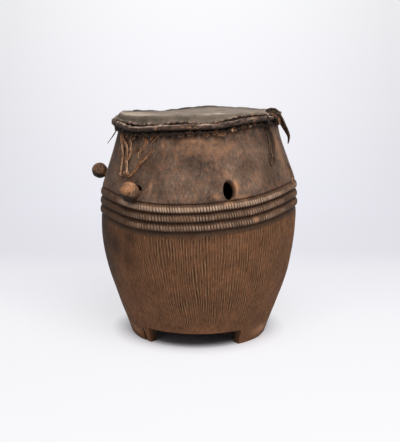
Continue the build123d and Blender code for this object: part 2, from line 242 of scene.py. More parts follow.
# flutes: combed down from a row of nicks, weak at the left and near the foot
wave = np.array([1.0, 0.1, -1.0, 0.0])[column % 4][None, :]
valley = np.array([0.0, 0.5, 1.0, 0.4])[column % 4][None, :]
strength = around(base_azimuth, [
    (-150, 0.8), (-100, 0.5), (-75, 0.25), (-55, 0.35), (-35, 0.6), (-15, 1), (40, 1), (70, 0.8), (110, 0.8),
])[None, :]
strength = strength * (0.92 + 0.28 * uneven(on_circle(180.0, azimuth, height), 30, 8, (1, 1, 2))).clip(0.3, 1.2)
strength = strength * (0.85 + 0.5 * uneven(on_circle(180.0, azimuth, height), 9, 12, (1, 1, 2.6))).clip(0.25, 1.25)
strength = strength * np.repeat(np.random.default_rng(9).uniform(0.7, 1.1, CARVED), 4)[None, :]
start = 227 + 1.5 * np.repeat(np.random.default_rng(4).normal(size=CARVED), 4)[None, :]
fluted = smooth(level, 20, 48) * (1 - smooth(level, start - 2, start + 1))
radius = radius + 0.65 * wave * strength * fluted
nick = (column % 4 == 2)[None, :] * np.exp(-(((level - start + 4) / 3.0) ** 2)) * strength
radius = radius - 0.7 * nick
cut = np.maximum(cut, np.maximum(0.66 * valley * strength * fluted, nick)).clip(0, 1)
crown = np.maximum(crown, 0.75 * (column % 4 == 0)[None, :] * strength * fluted).clip(0, 1)
cut = np.maximum(cut, 0.9 * np.exp(-(((azimuth - SPLIT_AZIMUTH) / 1.2) ** 2)) * (1 - smooth(height, 22, 32)))
# the hand of the carver: shallow hollows everywhere, longer up and down the grain
surface = on_circle(radius, azimuth, height)
gouged = 0.22 * uneven(surface, 17, 22, (1, 1, 3)) * smooth(level, 285, 300)
radius = radius + 0.55 * uneven(surface, 60, 21, (1, 1, 2)) + gouged
# the ball heads have rubbed a shallow dish round their holes
for number, rubbed in RUBBED.items():
    peg_azimuth, peg_height = HOLES[number]
    off = ((azimuth - peg_azimuth + 180) % 360 - 180) * MM_PER_DEGREE
    radius = radius - rubbed * np.exp(-((off / 20) ** 2) - ((height - peg_height + 3) / 20) ** 2)
outside = on_circle(radius, azimuth, height)
inner_heights = np.array([0, 25, 60, 130, 190, 240, 292.5, 360, 405, RIM_HEIGHT])
inner_radii = np.array([117, 125, 136.3, 156, 167, 170.5, 167.2, 152.3, 142, RIM_INSIDE])
inner = []
for number, inner_height in enumerate(inner_heights):
    tall = inner_height + np.zeros(COLUMNS)
    sloped = tall + (rim_height(RIM_INSIDE, base_azimuth) - RIM_HEIGHT) * (inner_height / RIM_HEIGHT) ** 6
    tall = np.where(tall < FEET_TOP, low[0] + tall / FEET_TOP * (FEET_TOP - low[0]), sloped)
    ring = on_circle(np.interp(tall, inner_heights, inner_radii), base_azimuth, tall)
    gouge = 0.8 * uneven(ring, 22, 31, (1, 1, 1.6)) * (number < len(inner_heights) - 1)
    inner.append(on_circle(np.interp(tall, inner_heights, inner_radii) + gouge, base_azimuth, tall))
rings = np.concatenate([outside, np.stack(inner[::-1])])
shell = make_piece("carved_shell", rings, grid_faces(len(rings), COLUMNS, True))
paint(shell, "cut", np.concatenate([cut.ravel(), np.zeros(len(inner) * COLUMNS)]))
paint(shell, "crown", np.concatenate([crown.ravel(), np.zeros(len(inner) * COLUMNS)]))


def hole_frame(azimuth, height):
    """Mouth of a peg hole, with the ways across it, up along it and outward."""
    rise = math.radians(20)
    outward = on_circle(math.cos(rise), azimuth, math.sin(rise))
    across = on_circle(1.0, azimuth + 90, 0.0)
    return on_circle(flank_radius(height), azimuth, height), across, np.cross(outward, across), outward


# (depth outward, spread): a worn mouth opens a little outward
MOUTH = ((-42, 0), (-16, 0), (-6, 0.05), (-2.5, 0.35), (-0.5, 1.0), (1.5, 2.0), (5, 3.2), (16, 3.4))
HOLE_HALF, HOLE_SIDES = 10.75, 48
cutter_points = []
cutter_faces = []
turn = np.linspace(0, 2 * math.pi, HOLE_SIDES, endpoint=False)
for number, (where, tall) in enumerate(HOLES):
    mouth, across, up, outward = hole_frame(where, tall)
    first = HOLE_SIDES * len(MOUTH) * number
    for depth, spread in MOUTH:
        half = HOLE_HALF + spread * (0.45 if number in RUBBED else 1) + 0.35 * np.sin(3 * turn + number)
        over = np.where((np.sin(turn) > 0) & (number in RUBBED), -2.5, 6.0)
        oval = half[:, None] * np.cos(turn)[:, None] * across + ((half + over) * np.sin(turn))[:, None] * up
        cutter_points.append(mouth + oval + depth * outward)
    cutter_faces.extend(grid_faces(len(MOUTH), HOLE_SIDES, False) + first)
    cutter_faces.append(np.arange(HOLE_SIDES)[::-1] + first)
    cutter_faces.append(np.arange(HOLE_SIDES) + first + HOLE_SIDES * (len(MOUTH) - 1))
cutter = make_piece("hole_cutter", np.concatenate(cutter_points), cutter_faces)
bore = shell.modifiers.new("peg_holes", "BOOLEAN")
bore.object = cutter
bore.solver = "EXACT"
bored = bpy.data.meshes.new_from_object(shell.evaluated_get(bpy.context.evaluated_depsgraph_get()))
shell.modifiers.clear()
shell.data = bored
bpy.data.objects.remove(cutter)
bored.shade_smooth()
bored.set_sharp_from_angle(angle=math.radians(48))


def patches(where, tall, places):
    """Soft-edged spots at (azimuth, height, half width, half height, strength), widths in mm."""
    total = np.zeros(len(where))
    for spot_azimuth, spot_height, wide, high, strong in places:
        off = ((where - spot_azimuth + 180) % 360 - 180) * MM_PER_DEGREE
        total = np.maximum(total, strong * np.exp(-((off / wide) ** 2) - ((tall - spot_height) / high) ** 2))
    return total


points = corners_mm(shell)
where = np.degrees(np.arctan2(points[:, 0], -points[:, 1]))
tall = points[:, 2]
carving_level = tall - band_climb(where) * near_bands(tall)
outer = smooth(np.hypot(points[:, 0], points[:, 1]) - side_radius(carving_level), -14, -8)
# wear in patches, and painted light: the wide patch over the upper flank brightens it as light from above would
wear_and_light = patches(where, tall, [
    (-19, 399, 12, 6, 0.5), (-3, 400, 30, 7, 0.9), (5, 396, 16, 5, 0.7), (6, 388, 95, 25, 0.58),
    (66, 365, 24, 55, 0.6), (-24, 391, 5, 14, 0.6), (-29, 318, 5, 24, 0.75), (22, 318, 7, 17, 1.0),
    (18, 340, 13, 10, 0.75), (15, 350, 18, 12, 0.4), (11, 303, 16, 7, 0.55), (26, 300, 14, 10, 0.6),
    (29, 410, 20, 8, 0.6), (37, 412, 22, 9, 0.5), (11, 402, 16, 6, 0.6), (17, 290, 11, 5, 0.95),
    (33, 257, 8, 6, 1.0), (30, 269, 6, 5, 0.7), (-2, 346, 20, 12, 0.3), (-12, 346, 22, 16, 0.35),
    (75, 321, 20, 24, 0.7), (150, 395, 40, 16, 0.6), (-150, 390, 36, 14, 0.6), (138, 330, 18, 14, 0.6),
    (-162, 325, 18, 14, 0.6), (-85, 312, 14, 12, 0.5), (-60, 18, 46, 14, 0.7), (58, 18, 46, 14, 0.9),
])
# soot in patches, and painted shade: the drum's darker left side and the shadows beside the lashings
soot_and_shade = patches(where, tall, [
    (-57, 195, 30, 34, 0.75), (-45, 178, 26, 30, 0.55), (-62, 130, 34, 50, 0.35), (-5, 362, 26, 15, 0.5),
    (-31, 355, 24, 30, 0.5), (33, 354, 26, 20, 0.45), (-70, 350, 34, 60, 0.3), (50, 395, 20, 26, 0.35),
    (-20, 372, 20, 12, 0.4), (60, 200, 40, 40, 0.2), (0, 372, 24, 8, 0.35), (10, 326, 14, 14, 0.35),
    (-8, 318, 26, 14, 0.3), (-42, 217, 18, 14, 0.7), (-73, 205, 50, 60, 1.0), (-70, 150, 40, 60, 0.8),
    (-84, 110, 46, 60, 0.8), (-78, 400, 34, 40, 0.8), (-66, 262, 54, 40, 0.6), (48, 335, 26, 30, 0.55),
    (-50, 403, 24, 11, 1.0), (-58, 378, 12, 34, 0.7), (-52, 345, 10, 30, 0.55), (-44, 378, 9, 9, 0.7),
    (-38, 350, 9, 26, 0.5), (0, 232, 60, 16, 0.4), (58, 380, 22, 40, 0.3),
])
strip = smooth(carving_level, 226, 229) * (1 - smooth(carving_level, 234, 237))
soot_and_shade = np.maximum(soot_and_shade, 0.5 * strip * outer)
# painted shadow: a near-black band on the shell just under the hoop's roll
hoop_level = HOOP_HEIGHT + HOOP_RADIUS * np.cos(np.radians(where - HIGH_SIDE)) * math.tan(RIM_SLOPE) + hoop_climb(where)
shaded = smooth(tall - hoop_level + 3 * uneven(points, 9, 24), -20.5, -11.5)
paint(shell, "wear_and_light", wear_and_light)
paint(shell, "soot_and_shade", soot_and_shade)
paint(shell, "shaded", shaded)
paint(shell, "fluted", (1 - smooth(carving_level, 226, 232)) * outer)
paint(shell, "flank", smooth(carving_level, 286, 294) * outer)
paint(shell, "outer", outer)


def tint(code):
    """Linear colour from an sRGB hex code."""
    parts = [int(code[place:place + 2], 16) / 255 for place in (1, 3, 5)]
    return [part / 12.92 if part <= 0.04045 else ((part + 0.055) / 1.055) ** 2.4 for part in parts] + [1.0]


def add(tree, kind, inputs=(), **settings):
    """Adds a shader node with its settings, and its inputs as values or links."""
    made = tree.nodes.new(kind)
    for key, value in settings.items():
        setattr(made, key, value)
    for socket, value in dict(inputs).items():
        if isinstance(value, bpy.types.NodeSocket):
            tree.links.new(value, made.inputs[socket])
        else:
            made.inputs[socket].default_value = value
    return made


def new_material(name):
    """An empty node material, its node tree, and the place on the object in metres."""
    material = bpy.data.materials.new(name)
    material.use_nodes = True
    tree = material.node_tree
    tree.nodes.clear()
    place = add(tree, "ShaderNodeTexCoord").outputs["Object"]
    return material, tree, place


def finish_material(tree, colour, roughness, height, depth):
    """Joins colour, roughness and a bump of that depth in metres to the material's output."""
    bump = add(tree, "ShaderNodeBump", {"Height": height, "Strength": 1.0, "Distance": depth})
    skin = add(tree, "ShaderNodeBsdfPrincipled", {
        "Base Color": colour, "Roughness": roughness, "Normal": bump.outputs[0], "IOR": 1.5, "Specular IOR Level": 0.13,
    })
    add(tree, "ShaderNodeOutputMaterial", {"Surface": skin.outputs[0]})


def lumps(size):
    """Noise scale for a pattern of about that size, in mm."""
    return 1 / (size * MM)


# Hand-carved hardwood under years of smoke and handling: grey-brown bloom on the flank, redder wood in the combed
# flutes, orange bare wood on worn edges, dirt in the cuts, fine upright grain with pores. Painted light brightens the
# upper flank, and painted shade darkens the cuts under the bands' crowns, the left side, the flank beside the lashings
# and the band under the hide's roll.
wood, tree, place = new_material("carved_hardwood_smoked_and_handled")
grain_place = add(tree, "ShaderNodeMapping", {"Vector": place, "Scale": (1, 1, 0.1)}).outputs[0]
grit_place = add(tree, "ShaderNodeMapping", {"Vector": place, "Scale": (1, 1, 0.6)}).outputs[0]
# (place, size in mm, detail, roughness)
grain, fine, mottle, blotch, speck, grit = (
    add(tree, "ShaderNodeTexNoise", {"Vector": at, "Scale": lumps(size), "Detail": detail, "Roughness": rough}).outputs[0]
    for at, size, detail, rough in (
        (grain_place, 3.03, 6, 0.65),  # streaks of grain, ten times as long as wide
        (grain_place, 0.909, 3, 0.6),  # pores, drawn wider than real ones so that they show
        (place, 38.46, 7, 0.62),  # clouds of bloom and smoke
        (place, 13.33, 6, 0.68),  # blotches from hands and thongs
        (place, 2.381, 2, 0.5),  # chips
        (grit_place, 4.762, 4, 0.75),  # tool marks, a little longer than wide
    )
)
marks = {
    name: add(tree, "ShaderNodeAttribute", attribute_name=name).outputs["Fac"]
    for name in ("cut", "crown", "wear_and_light", "soot_and_shade", "shaded", "fluted", "flank", "outer")
}
bloom = add(tree, "ShaderNodeMapRange", {"Value": mottle, "From Min": 0.36, "From Max": 0.66}).outputs[0]
flank_colour = add(tree, "ShaderNodeMix", {0: bloom, 6: tint("#483a31"), 7: tint("#7a6352")}, data_type="RGBA").outputs[2]
warm = add(tree, "ShaderNodeMapRange", {"Value": blotch, "From Min": 0.45, "From Max": 0.72, "To Max": 0.6}).outputs[0]
flank_colour = add(tree, "ShaderNodeMix", {0: warm, 6: flank_colour, 7: tint("#8c6148")}, data_type="RGBA").outputs[2]
flute_colour = add(tree, "ShaderNodeMix", {0: bloom, 6: tint("#67462f"), 7: tint("#7d553a")}, data_type="RGBA").outputs[2]
band_colour = add(tree, "ShaderNodeMix", {0: bloom, 6: tint("#523c2d"), 7: tint("#6e513d")}, data_type="RGBA").outputs[2]
colour = add(tree, "ShaderNodeMix", {0: marks["fluted"], 6: band_colour, 7: flute_colour}, data_type="RGBA").outputs[2]
colour = add(tree, "ShaderNodeMix", {0: marks["flank"], 6: colour, 7: flank_colour}, data_type="RGBA").outputs[2]
for pattern, darkest_at, palest_at, darkest, palest in ((grain, 0.3, 0.72, 0.6, 1.32), (grit, 0.3, 0.7, 0.6, 1.4)):
    streak = add(tree, "ShaderNodeMapRange", {
        "Value": pattern, "From Min": darkest_at, "From Max": palest_at, "To Min": darkest, "To Max": palest,
    }).outputs[0]
    streak = add(tree, "ShaderNodeCombineColor", {0: streak, 1: streak, 2: streak}).outputs[0]
    colour = add(tree, "ShaderNodeMix", {0: 0.8, 6: colour, 7: streak}, data_type="RGBA", blend_type="MULTIPLY").outputs[2]
# bare wood shows where hands and thongs rub, with painted light over the upper flank, and paler on the crowns
rub_and_light = add(tree, "ShaderNodeMath", {0: blotch, 1: marks["wear_and_light"]}, operation="MULTIPLY").outputs[0]
rub_and_light = add(tree, "ShaderNodeMapRange", {"Value": rub_and_light, "From Min": 0.16, "From Max": 0.52}).outputs[0]
colour = add(tree, "ShaderNodeMix", {0: rub_and_light, 6: colour, 7: tint("#ab7d5b")}, data_type="RGBA").outputs[2]
pale = add(tree, "ShaderNodeMath", {0: blotch, 1: marks["crown"]}, operation="MULTIPLY").outputs[0]
pale = add(tree, "ShaderNodeMapRange", {"Value": pale, "From Min": 0.1, "From Max": 0.5, "To Max": 0.95}).outputs[0]
bare = add(tree, "ShaderNodeMix", {
    0: marks["fluted"], 6: tint("#bfa188"), 7: tint("#ab8560"),
}, data_type="RGBA").outputs[2]
colour = add(tree, "ShaderNodeMix", {0: pale, 6: colour, 7: bare}, data_type="RGBA").outputs[2]
# dirt in the cuts, with painted shade under each band's crown; soot in patches, with painted shade on the left side
# and beside the lashings; a painted shadow under the hide's roll
dirt_and_shade_in_cuts = add(tree, "ShaderNodeMath", {0: marks["cut"], 1: 0.88}, operation="MULTIPLY").outputs[0]
colour = add(tree, "ShaderNodeMix", {0: dirt_and_shade_in_cuts, 6: colour, 7: tint("#20150f")}, data_type="RGBA").outputs[2]
smoke_and_shade = add(tree, "ShaderNodeMath", {0: mottle, 1: marks["soot_and_shade"]}, operation="MULTIPLY").outputs[0]
smoke_and_shade = add(tree, "ShaderNodeMapRange", {"Value": smoke_and_shade, "From Min": 0.05, "From Max": 0.4, "To Max": 0.88}).outputs[0]
colour = add(tree, "ShaderNodeMix", {0: smoke_and_shade, 6: colour, 7: tint("#38281b")}, data_type="RGBA").outputs[2]
colour = add(tree, "ShaderNodeMix", {0: marks["shaded"], 6: colour, 7: tint("#140d09")}, data_type="RGBA").outputs[2]
chip = add(tree, "ShaderNodeMapRange", {"Value": speck, "From Min": 0.69, "From Max": 0.76, "To Max": 0.6}).outputs[0]
chip = add(tree, "ShaderNodeMath", {0: chip, 1: marks["flank"]}, operation="MULTIPLY").outputs[0]
colour = add(tree, "ShaderNodeMix", {0: chip, 6: colour, 7: tint("#a8998b")}, data_type="RGBA").outputs[2]
within = add(tree, "ShaderNodeMix", {0: marks["outer"], 6: tint("#4a3324"), 7: colour}, data_type="RGBA").outputs[2]
dull = add(tree, "ShaderNodeMapRange", {
    "Value": blotch, "From Min": 0.3, "From Max": 0.7, "To Min": 0.62, "To Max": 0.85,
}).outputs[0]
bumps = add(tree, "ShaderNodeMath", {0: grain, 1: 0.6}, operation="MULTIPLY").outputs[0]
for pattern, share in ((fine, 0.35), (blotch, 1.2), (grit, 0.8)):
    bumps = add(tree, "ShaderNodeMath", {0: pattern, 1: share, 2: bumps}, operation="MULTIPLY_ADD").outputs[0]
finish_material(tree, within, dull, bumps, 0.0008)
shell.data.materials.append(wood)
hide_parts("drum_shell")
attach(shell, "drum")

# The pegs: hardwood sticks, whittled with a ball at one end, pushed into the holes and handled smooth. Each slides
# in its own hole and lies on the hole's lower end.

# Whittled peg wood, polished by hands: orange-brown on top with a painted highlight, dark and greasy below with painted
# shade, with short knife marks.
peg_wood, tree, place = new_material("whittled_hardwood_handled")
# (place, size in mm, detail, roughness)
swirl, fleck, knots = (
    add(tree, "ShaderNodeTexNoise", {"Vector": at, "Scale": lumps(size), "Detail": detail, "Roughness": rough}).outputs[0]
    for at, size, detail, rough in (
        (place, 10.53, 7, 0.65),  # swirls of grain round the ball
        (place, 4.167, 4, 0.6),  # knife marks
        (place, 14.29, 3, 0.6),  # knots
    )
)
grip = add(tree, "ShaderNodeAttribute", attribute_name="wear_and_light").outputs["Fac"]
dark = add(tree, "ShaderNodeAttribute", attribute_name="soot_and_shade").outputs["Fac"]
tone = add(tree, "ShaderNodeMapRange", {"Value": swirl, "From Min": 0.36, "From Max": 0.66}).outputs[0]
colour = add(tree, "ShaderNodeMix", {0: tone, 6: tint("#4c392e"), 7: tint("#84624b")}, data_type="RGBA").outputs[2]
shine = add(tree, "ShaderNodeMath", {0: swirl, 1: grip}, operation="MULTIPLY").outputs[0]
shine = add(tree, "ShaderNodeMapRange", {"Value": shine, "From Min": 0.22, "From Max": 0.56}).outputs[0]
colour = add(tree, "ShaderNodeMix", {0: shine, 6: colour, 7: tint("#9d6c48")}, data_type="RGBA").outputs[2]
scrape = add(tree, "ShaderNodeMapRange", {"Value": fleck, "From Min": 0.54, "From Max": 0.66, "To Max": 0.8}).outputs[0]
scrape = add(tree, "ShaderNodeMath", {0: scrape, 1: grip}, operation="MULTIPLY").outputs[0]
colour = add(tree, "ShaderNodeMix", {0: scrape, 6: colour, 7: tint("#b99274")}, data_type="RGBA").outputs[2]
sheen = add(tree, "ShaderNodeMapRange", {"Value": knots, "From Min": 0.54, "From Max": 0.64, "To Max": 0.75}).outputs[0]
sheen = add(tree, "ShaderNodeMath", {0: sheen, 1: grip}, operation="MULTIPLY").outputs[0]
colour = add(tree, "ShaderNodeMix", {0: sheen, 6: colour, 7: tint("#c39d82")}, data_type="RGBA").outputs[2]
# dark knots, then dark knife marks
for pattern, darkest_at, clear_at, darkest, code in (
    (knots, 0.36, 0.46, 0.8, "#4a3022"), (fleck, 0.3, 0.44, 0.7, "#3b2a20"),
):
    stain = add(tree, "ShaderNodeMapRange", {
        "Value": pattern, "From Min": darkest_at, "From Max": clear_at, "To Min": darkest, "To Max": 0.0,
    }).outputs[0]
    colour = add(tree, "ShaderNodeMix", {0: stain, 6: colour, 7: tint(code)}, data_type="RGBA").outputs[2]
# grime, and painted shade on the ball's lower side
grime = add(tree, "ShaderNodeMath", {0: swirl, 1: dark}, operation="MULTIPLY").outputs[0]
grime = add(tree, "ShaderNodeMapRange", {"Value": grime, "From Min": 0.06, "From Max": 0.4, "To Max": 0.95}).outputs[0]
colour = add(tree, "ShaderNodeMix", {0: grime, 6: colour, 7: tint("#20150e")}, data_type="RGBA").outputs[2]
dull = add(tree, "ShaderNodeMapRange", {
    "Value": fleck, "From Min": 0.3, "From Max": 0.7, "To Min": 0.5, "To Max": 0.75,
}).outputs[0]
mix = add(tree, "ShaderNodeMath", {0: swirl, 1: 2.0, 2: fleck}, operation="MULTIPLY_ADD").outputs[0]
finish_material(tree, colour, dull, mix, 0.0006)

# (hole, width of the ball, how far the ball stands off its hole)
PEGS = {"left": (0, 32, 5.5), "left_front": (1, 38, 1.5), "rear_right": (4, 35, 7.0), "rear_left": (5, 34, 4.0)}
SHANK, SHANK_LENGTH, PEG_SIDES = 8.5, 70, 72  # the shank's radius at the ball, and its length
SHANK_DROP = 8.2  # from the hole's middle down to the shank, which lies on the lower end
GRIPPED = (0.5, 1.0, 0.7, 0.5)  # how bare hands have worn each ball
for number, (name, (hole, ball, stand)) in enumerate(PEGS.items()):
    mouth, across, up, outward = hole_frame(*HOLES[hole])
    radius = ball / 2
    neck = math.sqrt(radius**2 - SHANK**2)
    turns = np.linspace(math.asin(SHANK / radius), math.pi, 30)
    tip = -neck - SHANK_LENGTH
    profile = [(tip, 3.2), (tip + 0.6, 5.2), (tip + 3, 6.0)]
    profile += [(-neck - along, np.interp(along, [0, 38, 67], [8.4, 8.4, 6.1])) for along in np.linspace(62, 1.5, 16)]
    profile += [(-radius * math.cos(turn), radius * math.sin(turn)) for turn in turns[:-1]]
    along = np.array([place[0] for place in profile])[:, None]
    reach = np.array([place[1] for place in profile])[:, None]
    spin = np.linspace(0, 2 * math.pi, PEG_SIDES, endpoint=False)[None, :]
    middle = mouth - SHANK_DROP * up + (stand + neck) * outward
    ring = np.cos(spin)[..., None] * across + np.sin(spin)[..., None] * up
    shape = along[..., None] * outward + reach[..., None] * ring
    # knife facets and an out-of-round head
    knife = uneven(shape, 13, 40 + number) * 0.035 + uneven(shape, 30, 50 + number) * 0.03
    head = smooth(along, -neck - 1, -neck + 4)
    out_of_round = 1 - 0.04 * head * np.abs(np.sin(1.5 * spin + number))
    reach = reach * (1 - np.abs(knife) * head - 0.02 * (1 - head)) * out_of_round
    along = np.where(head > 0, along * (1 - 0.03 * head), along)
    shape = middle + along[..., None] * outward + reach[..., None] * ring
    ends = np.stack([middle + tip * outward, middle + 0.97 * radius * outward])
    count = len(profile) * PEG_SIDES
    last = count - PEG_SIDES
    faces = [tuple(face) for face in grid_faces(len(profile), PEG_SIDES, False)]
    faces += [(count, (step + 1) % PEG_SIDES, step) for step in range(PEG_SIDES)]
    faces += [(count + 1, last + step, last + (step + 1) % PEG_SIDES) for step in range(PEG_SIDES)]
    peg = make_piece(f"whittled_peg_{name}", np.concatenate([shape.reshape(-1, 3), ends]), faces)
    spots = corners_mm(peg)
    # hands have polished the ball on top and in front, where a painted highlight lies too, and grease, smoke and
    # painted shade darken it below
    facing = (spots - middle) @ np.array([-0.35, -0.55, 0.75])
    on_ball = smooth((spots - middle) @ outward, -neck, -neck + 6)
    paint(peg, "wear_and_light", GRIPPED[number] * smooth(facing / radius, 0.0, 0.8) * on_ball)
    below = -(spots - middle) @ np.array([0.3, -0.1, 0.95]) / radius
    patch = np.linalg.norm(spots - middle - radius * np.array([-0.62, -0.75, -0.2]), axis=1)
    paint(peg, "soot_and_shade", np.maximum(smooth(below, -0.25, 0.55), 0.5 * (1 - smooth(patch, 4, 9))))
    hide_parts(f"peg_{name}")
    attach(peg, f"peg_{name}")
    peg.data.materials.append(peg_wood)

# The head: one rawhide, put on wet over the rim and rolled round a vine hoop, then dried hard. Its cut edge
# stands up as a crinkled lip over the roll, with pockets where the lacing goes through.
HEAD_COLUMNS = 720
HIDE_TOP = RIM_HEIGHT + 2
LIP_RADIUS, LIP_HEIGHT = 158.4, 424.4


def lip_climb(azimuth):
    """How far the hide's cut edge leaves its level ring."""
    return around(azimuth, [
        (-172, -1.5), (-163, -3.8), (-153, -5.4), (-147, -5), (-129, -2.4), (-112, 0), (-85, 0.5), (-58, -3.1),
        (-49, -2.6), (-41, -5.4), (-37, -2.4), (-30, -2.5), (-26, -3.2), (-20, 1), (-9, 3.4), (-4, 1.9), (4, -0.6),
        (10, 1), (18, 5.6), (27, 9.2), (34, 11), (42, 10.6), (55, 8), (70, 6), (90, 4), (115, 0.5), (135, -2),
        (152, -2), (175, -1),
    ])


def tuck(azimuth):
    """1 where the roll is drawn in at the right, 0 elsewhere."""
    return around(azimuth, [(48, 0), (62, 1), (100, 1), (122, 0)])


def tilted(points):
    """Puts points that were made level at the rim onto the sloping rim."""
    high = math.radians(HIGH_SIDE)
    hinge = np.array([-math.cos(high), -math.sin(high), 0])
    middle = np.array([0, 0, RIM_HEIGHT])
    arm = points - middle
    along = (arm @ hinge)[..., None] * hinge
    return middle + along + (arm - along) * math.cos(RIM_SLOPE) + np.cross(hinge, arm) * math.sin(RIM_SLOPE)


spin = -180 + np.arange(HEAD_COLUMNS) * 360 / HEAD_COLUMNS
rim_up = rim_climb(spin)
hoop_up = hoop_climb(spin)
lip_up = lip_climb(spin)
harmonics = np.fft.rfft(rim_up)


def stretched(out):
    """Height that the uneven rim gives the tight hide at a radius, dying away toward the middle."""
    return np.fft.irfft(harmonics * (out / 150) ** np.arange(len(harmonics)), HEAD_COLUMNS)


ring_points = on_circle(160.0, spin, 0.0)
crinkle = uneven(ring_points, 9, 61)
fold = uneven(ring_points, 26, 62)
fine_fold = uneven(ring_points, 5, 63)
# how far the cut edge gapes from the roll: knotted at the left, then a slit, flat at the middle, a crack at the right
gaping = around(spin, [
    (-130, 0.6), (-90, 1), (-47, 1), (-30, 0.9), (-24, 0.75), (-13, 0.5), (-8, 0.1), (1, 0.05), (5, 0.45), (12, 0.6),
    (45, 0.65), (60, 0.4), (110, 0.6),
])
knotted = around(spin, [(-110, 0.8), (-85, 1), (-50, 1), (-42, 0.3), (-20, 0.1), (60, 0.15), (90, 0.6), (140, 0.6)])
stitch = np.clip(0.5 + 0.9 * np.cos(np.radians(spin) * 84 + 2.2 * fold), 0, 1) * knotted
section = []  # (radius, height, part) round the drum: 0 top, 1 skirt, 2 lip, 3 roll, 4 underside
for out in (8, 30, 55, 80, 100, 116, 128, 137, 143):
    ring = on_circle(float(out), spin, 0.0)
    dish = -0.8 * math.sin(math.pi * min(1, out / 143)) + 0.4 * uneven(ring, 60, 64) * min(1, out / 60)
    pucker = 0.7 * np.maximum(fold, -0.3) * smooth(out, 120, 143)
    section.append((out + 0 * spin, HIDE_TOP + dish + pucker + stretched(out), 0))
bead = 1.0 + 0.7 * fold
section.append((147.5 + 0 * spin, HIDE_TOP + 0.4 + bead + rim_up, 0.05))
section.append((150.6 + 0.3 * crinkle, HIDE_TOP + 0.2 + bead + rim_up, 0.25))
section.append((152.6 + 0.3 * crinkle, HIDE_TOP - 1.4 + 0.6 * bead + rim_up, 0.6))
lip_out = LIP_RADIUS + 0.9 * fold + 0.3 * crinkle - 0.9 * stitch
jagged = around(spin, [(-55, 0.6), (-8, 0.5), (4, 1.1), (45, 1.2), (60, 0.6)])
lip_high = LIP_HEIGHT + lip_up + (0.5 * crinkle + 0.6 * fine_fold) * jagged - 0.5 * stitch
for share, hollow in ((0.2, 0.3), (0.45, 0.9), (0.68, 1.0), (0.84, 0.5)):
    out = 153.2 + share * (lip_out - 1.0 - 153.2) - hollow * (0.9 + 0.4 * fold)
    high = HIDE_TOP - 2.8 + 0.4 * bead + rim_up
    section.append((out, high + share * (lip_high + 1.4 - high), 1))
thick = 1.0 + 0.9 * gaping + 0.35 * crinkle * gaping + 0.25 * fine_fold * gaping
for turn in (118, 72, 28, -16, -60, -105):
    section.append((lip_out + thick * math.cos(math.radians(turn)), lip_high + thick * math.sin(math.radians(turn)), 2))
tucked = tuck(spin)
middle_out = HOOP_RADIUS + 0.5 * fold - 5.5 * tucked
middle_high = HOOP_HEIGHT + hoop_up
pocket_high = np.minimum(lip_high - 1.3 - gaping, middle_high + 5.6) - 0.6 * stitch
section.append((lip_out - 0.2 - 1.6 * gaping - 2 * stitch, pocket_high, 2.4))
section.append((middle_out - 1.4 - 1.7 * gaping - 1.4 * stitch, middle_high + 4.9 - 0.6 * gaping - 0.9 * stitch, 2.6))
ROLL_TURNS = (108, 90, 74, 58, 42, 26, 10, -6, -22, -38, -56, -76, -100, -140)
streaks = {}
for turn in ROLL_TURNS:
    girth = on_circle(160.0, spin, 1.1 * turn)
    lay = np.sin(np.radians(spin) * 62 + math.radians(turn) * 1.5 + 2.4 * fold) * knotted
    streaks[turn] = uneven(girth, 36, 66), np.abs(uneven(girth, 42, 67)), lay
    wrap = (1 - 0.2 * tucked) * (5.0 + 0.4 * streaks[turn][0] + 0.3 * uneven(girth, 14, 65) + 0.7 * lay)
    slant = math.radians(turn)
    section.append((middle_out + wrap * math.cos(slant), middle_high + wrap * math.sin(slant), 3))
section.append((middle_out - 5.2, middle_high - 0.5, 4))
section.append((152.4 + 0 * spin, np.minimum(HIDE_TOP - 4 + rim_up, middle_high + 9), 4))
section.append((150.2 + 0 * spin, HIDE_TOP - 1.7 + rim_up, 4))
for out in (146, 136, 120, 95, 65, 35, 8):
    section.append((out + 0 * spin, HIDE_TOP - 1.6 - 1.6 * smooth(136 - out, 0, 60) + stretched(out), 4))
sheet_points = np.stack([tilted(on_circle(out, spin, high)) for out, high, _ in section])
middle_up = rim_up.mean()
crown_point = tilted(np.array([[0, 0, HIDE_TOP + middle_up], [0, 0, HIDE_TOP - 3.2 + middle_up]]))
count = len(section) * HEAD_COLUMNS
faces = [tuple(face) for face in grid_faces(len(section), HEAD_COLUMNS, False)[:, ::-1]]
for step in range(HEAD_COLUMNS):
    after = (step + 1) % HEAD_COLUMNS
    faces.append((count, step, after))
    faces.append((count + 1, count - HEAD_COLUMNS + after, count - HEAD_COLUMNS + step))
head = make_piece("rawhide_head", np.concatenate([sheet_points.reshape(-1, 3), crown_point]), faces, 75)
part = np.concatenate([np.repeat([zone for _, _, zone in section], HEAD_COLUMNS), [0, 4]])
spots = corners_mm(head)
where = np.degrees(np.arctan2(spots[:, 0], -spots[:, 1]))
out = np.hypot(spots[:, 0], spots[:, 1])
paint(head, "skirt", smooth(part, 0.2, 0.9))
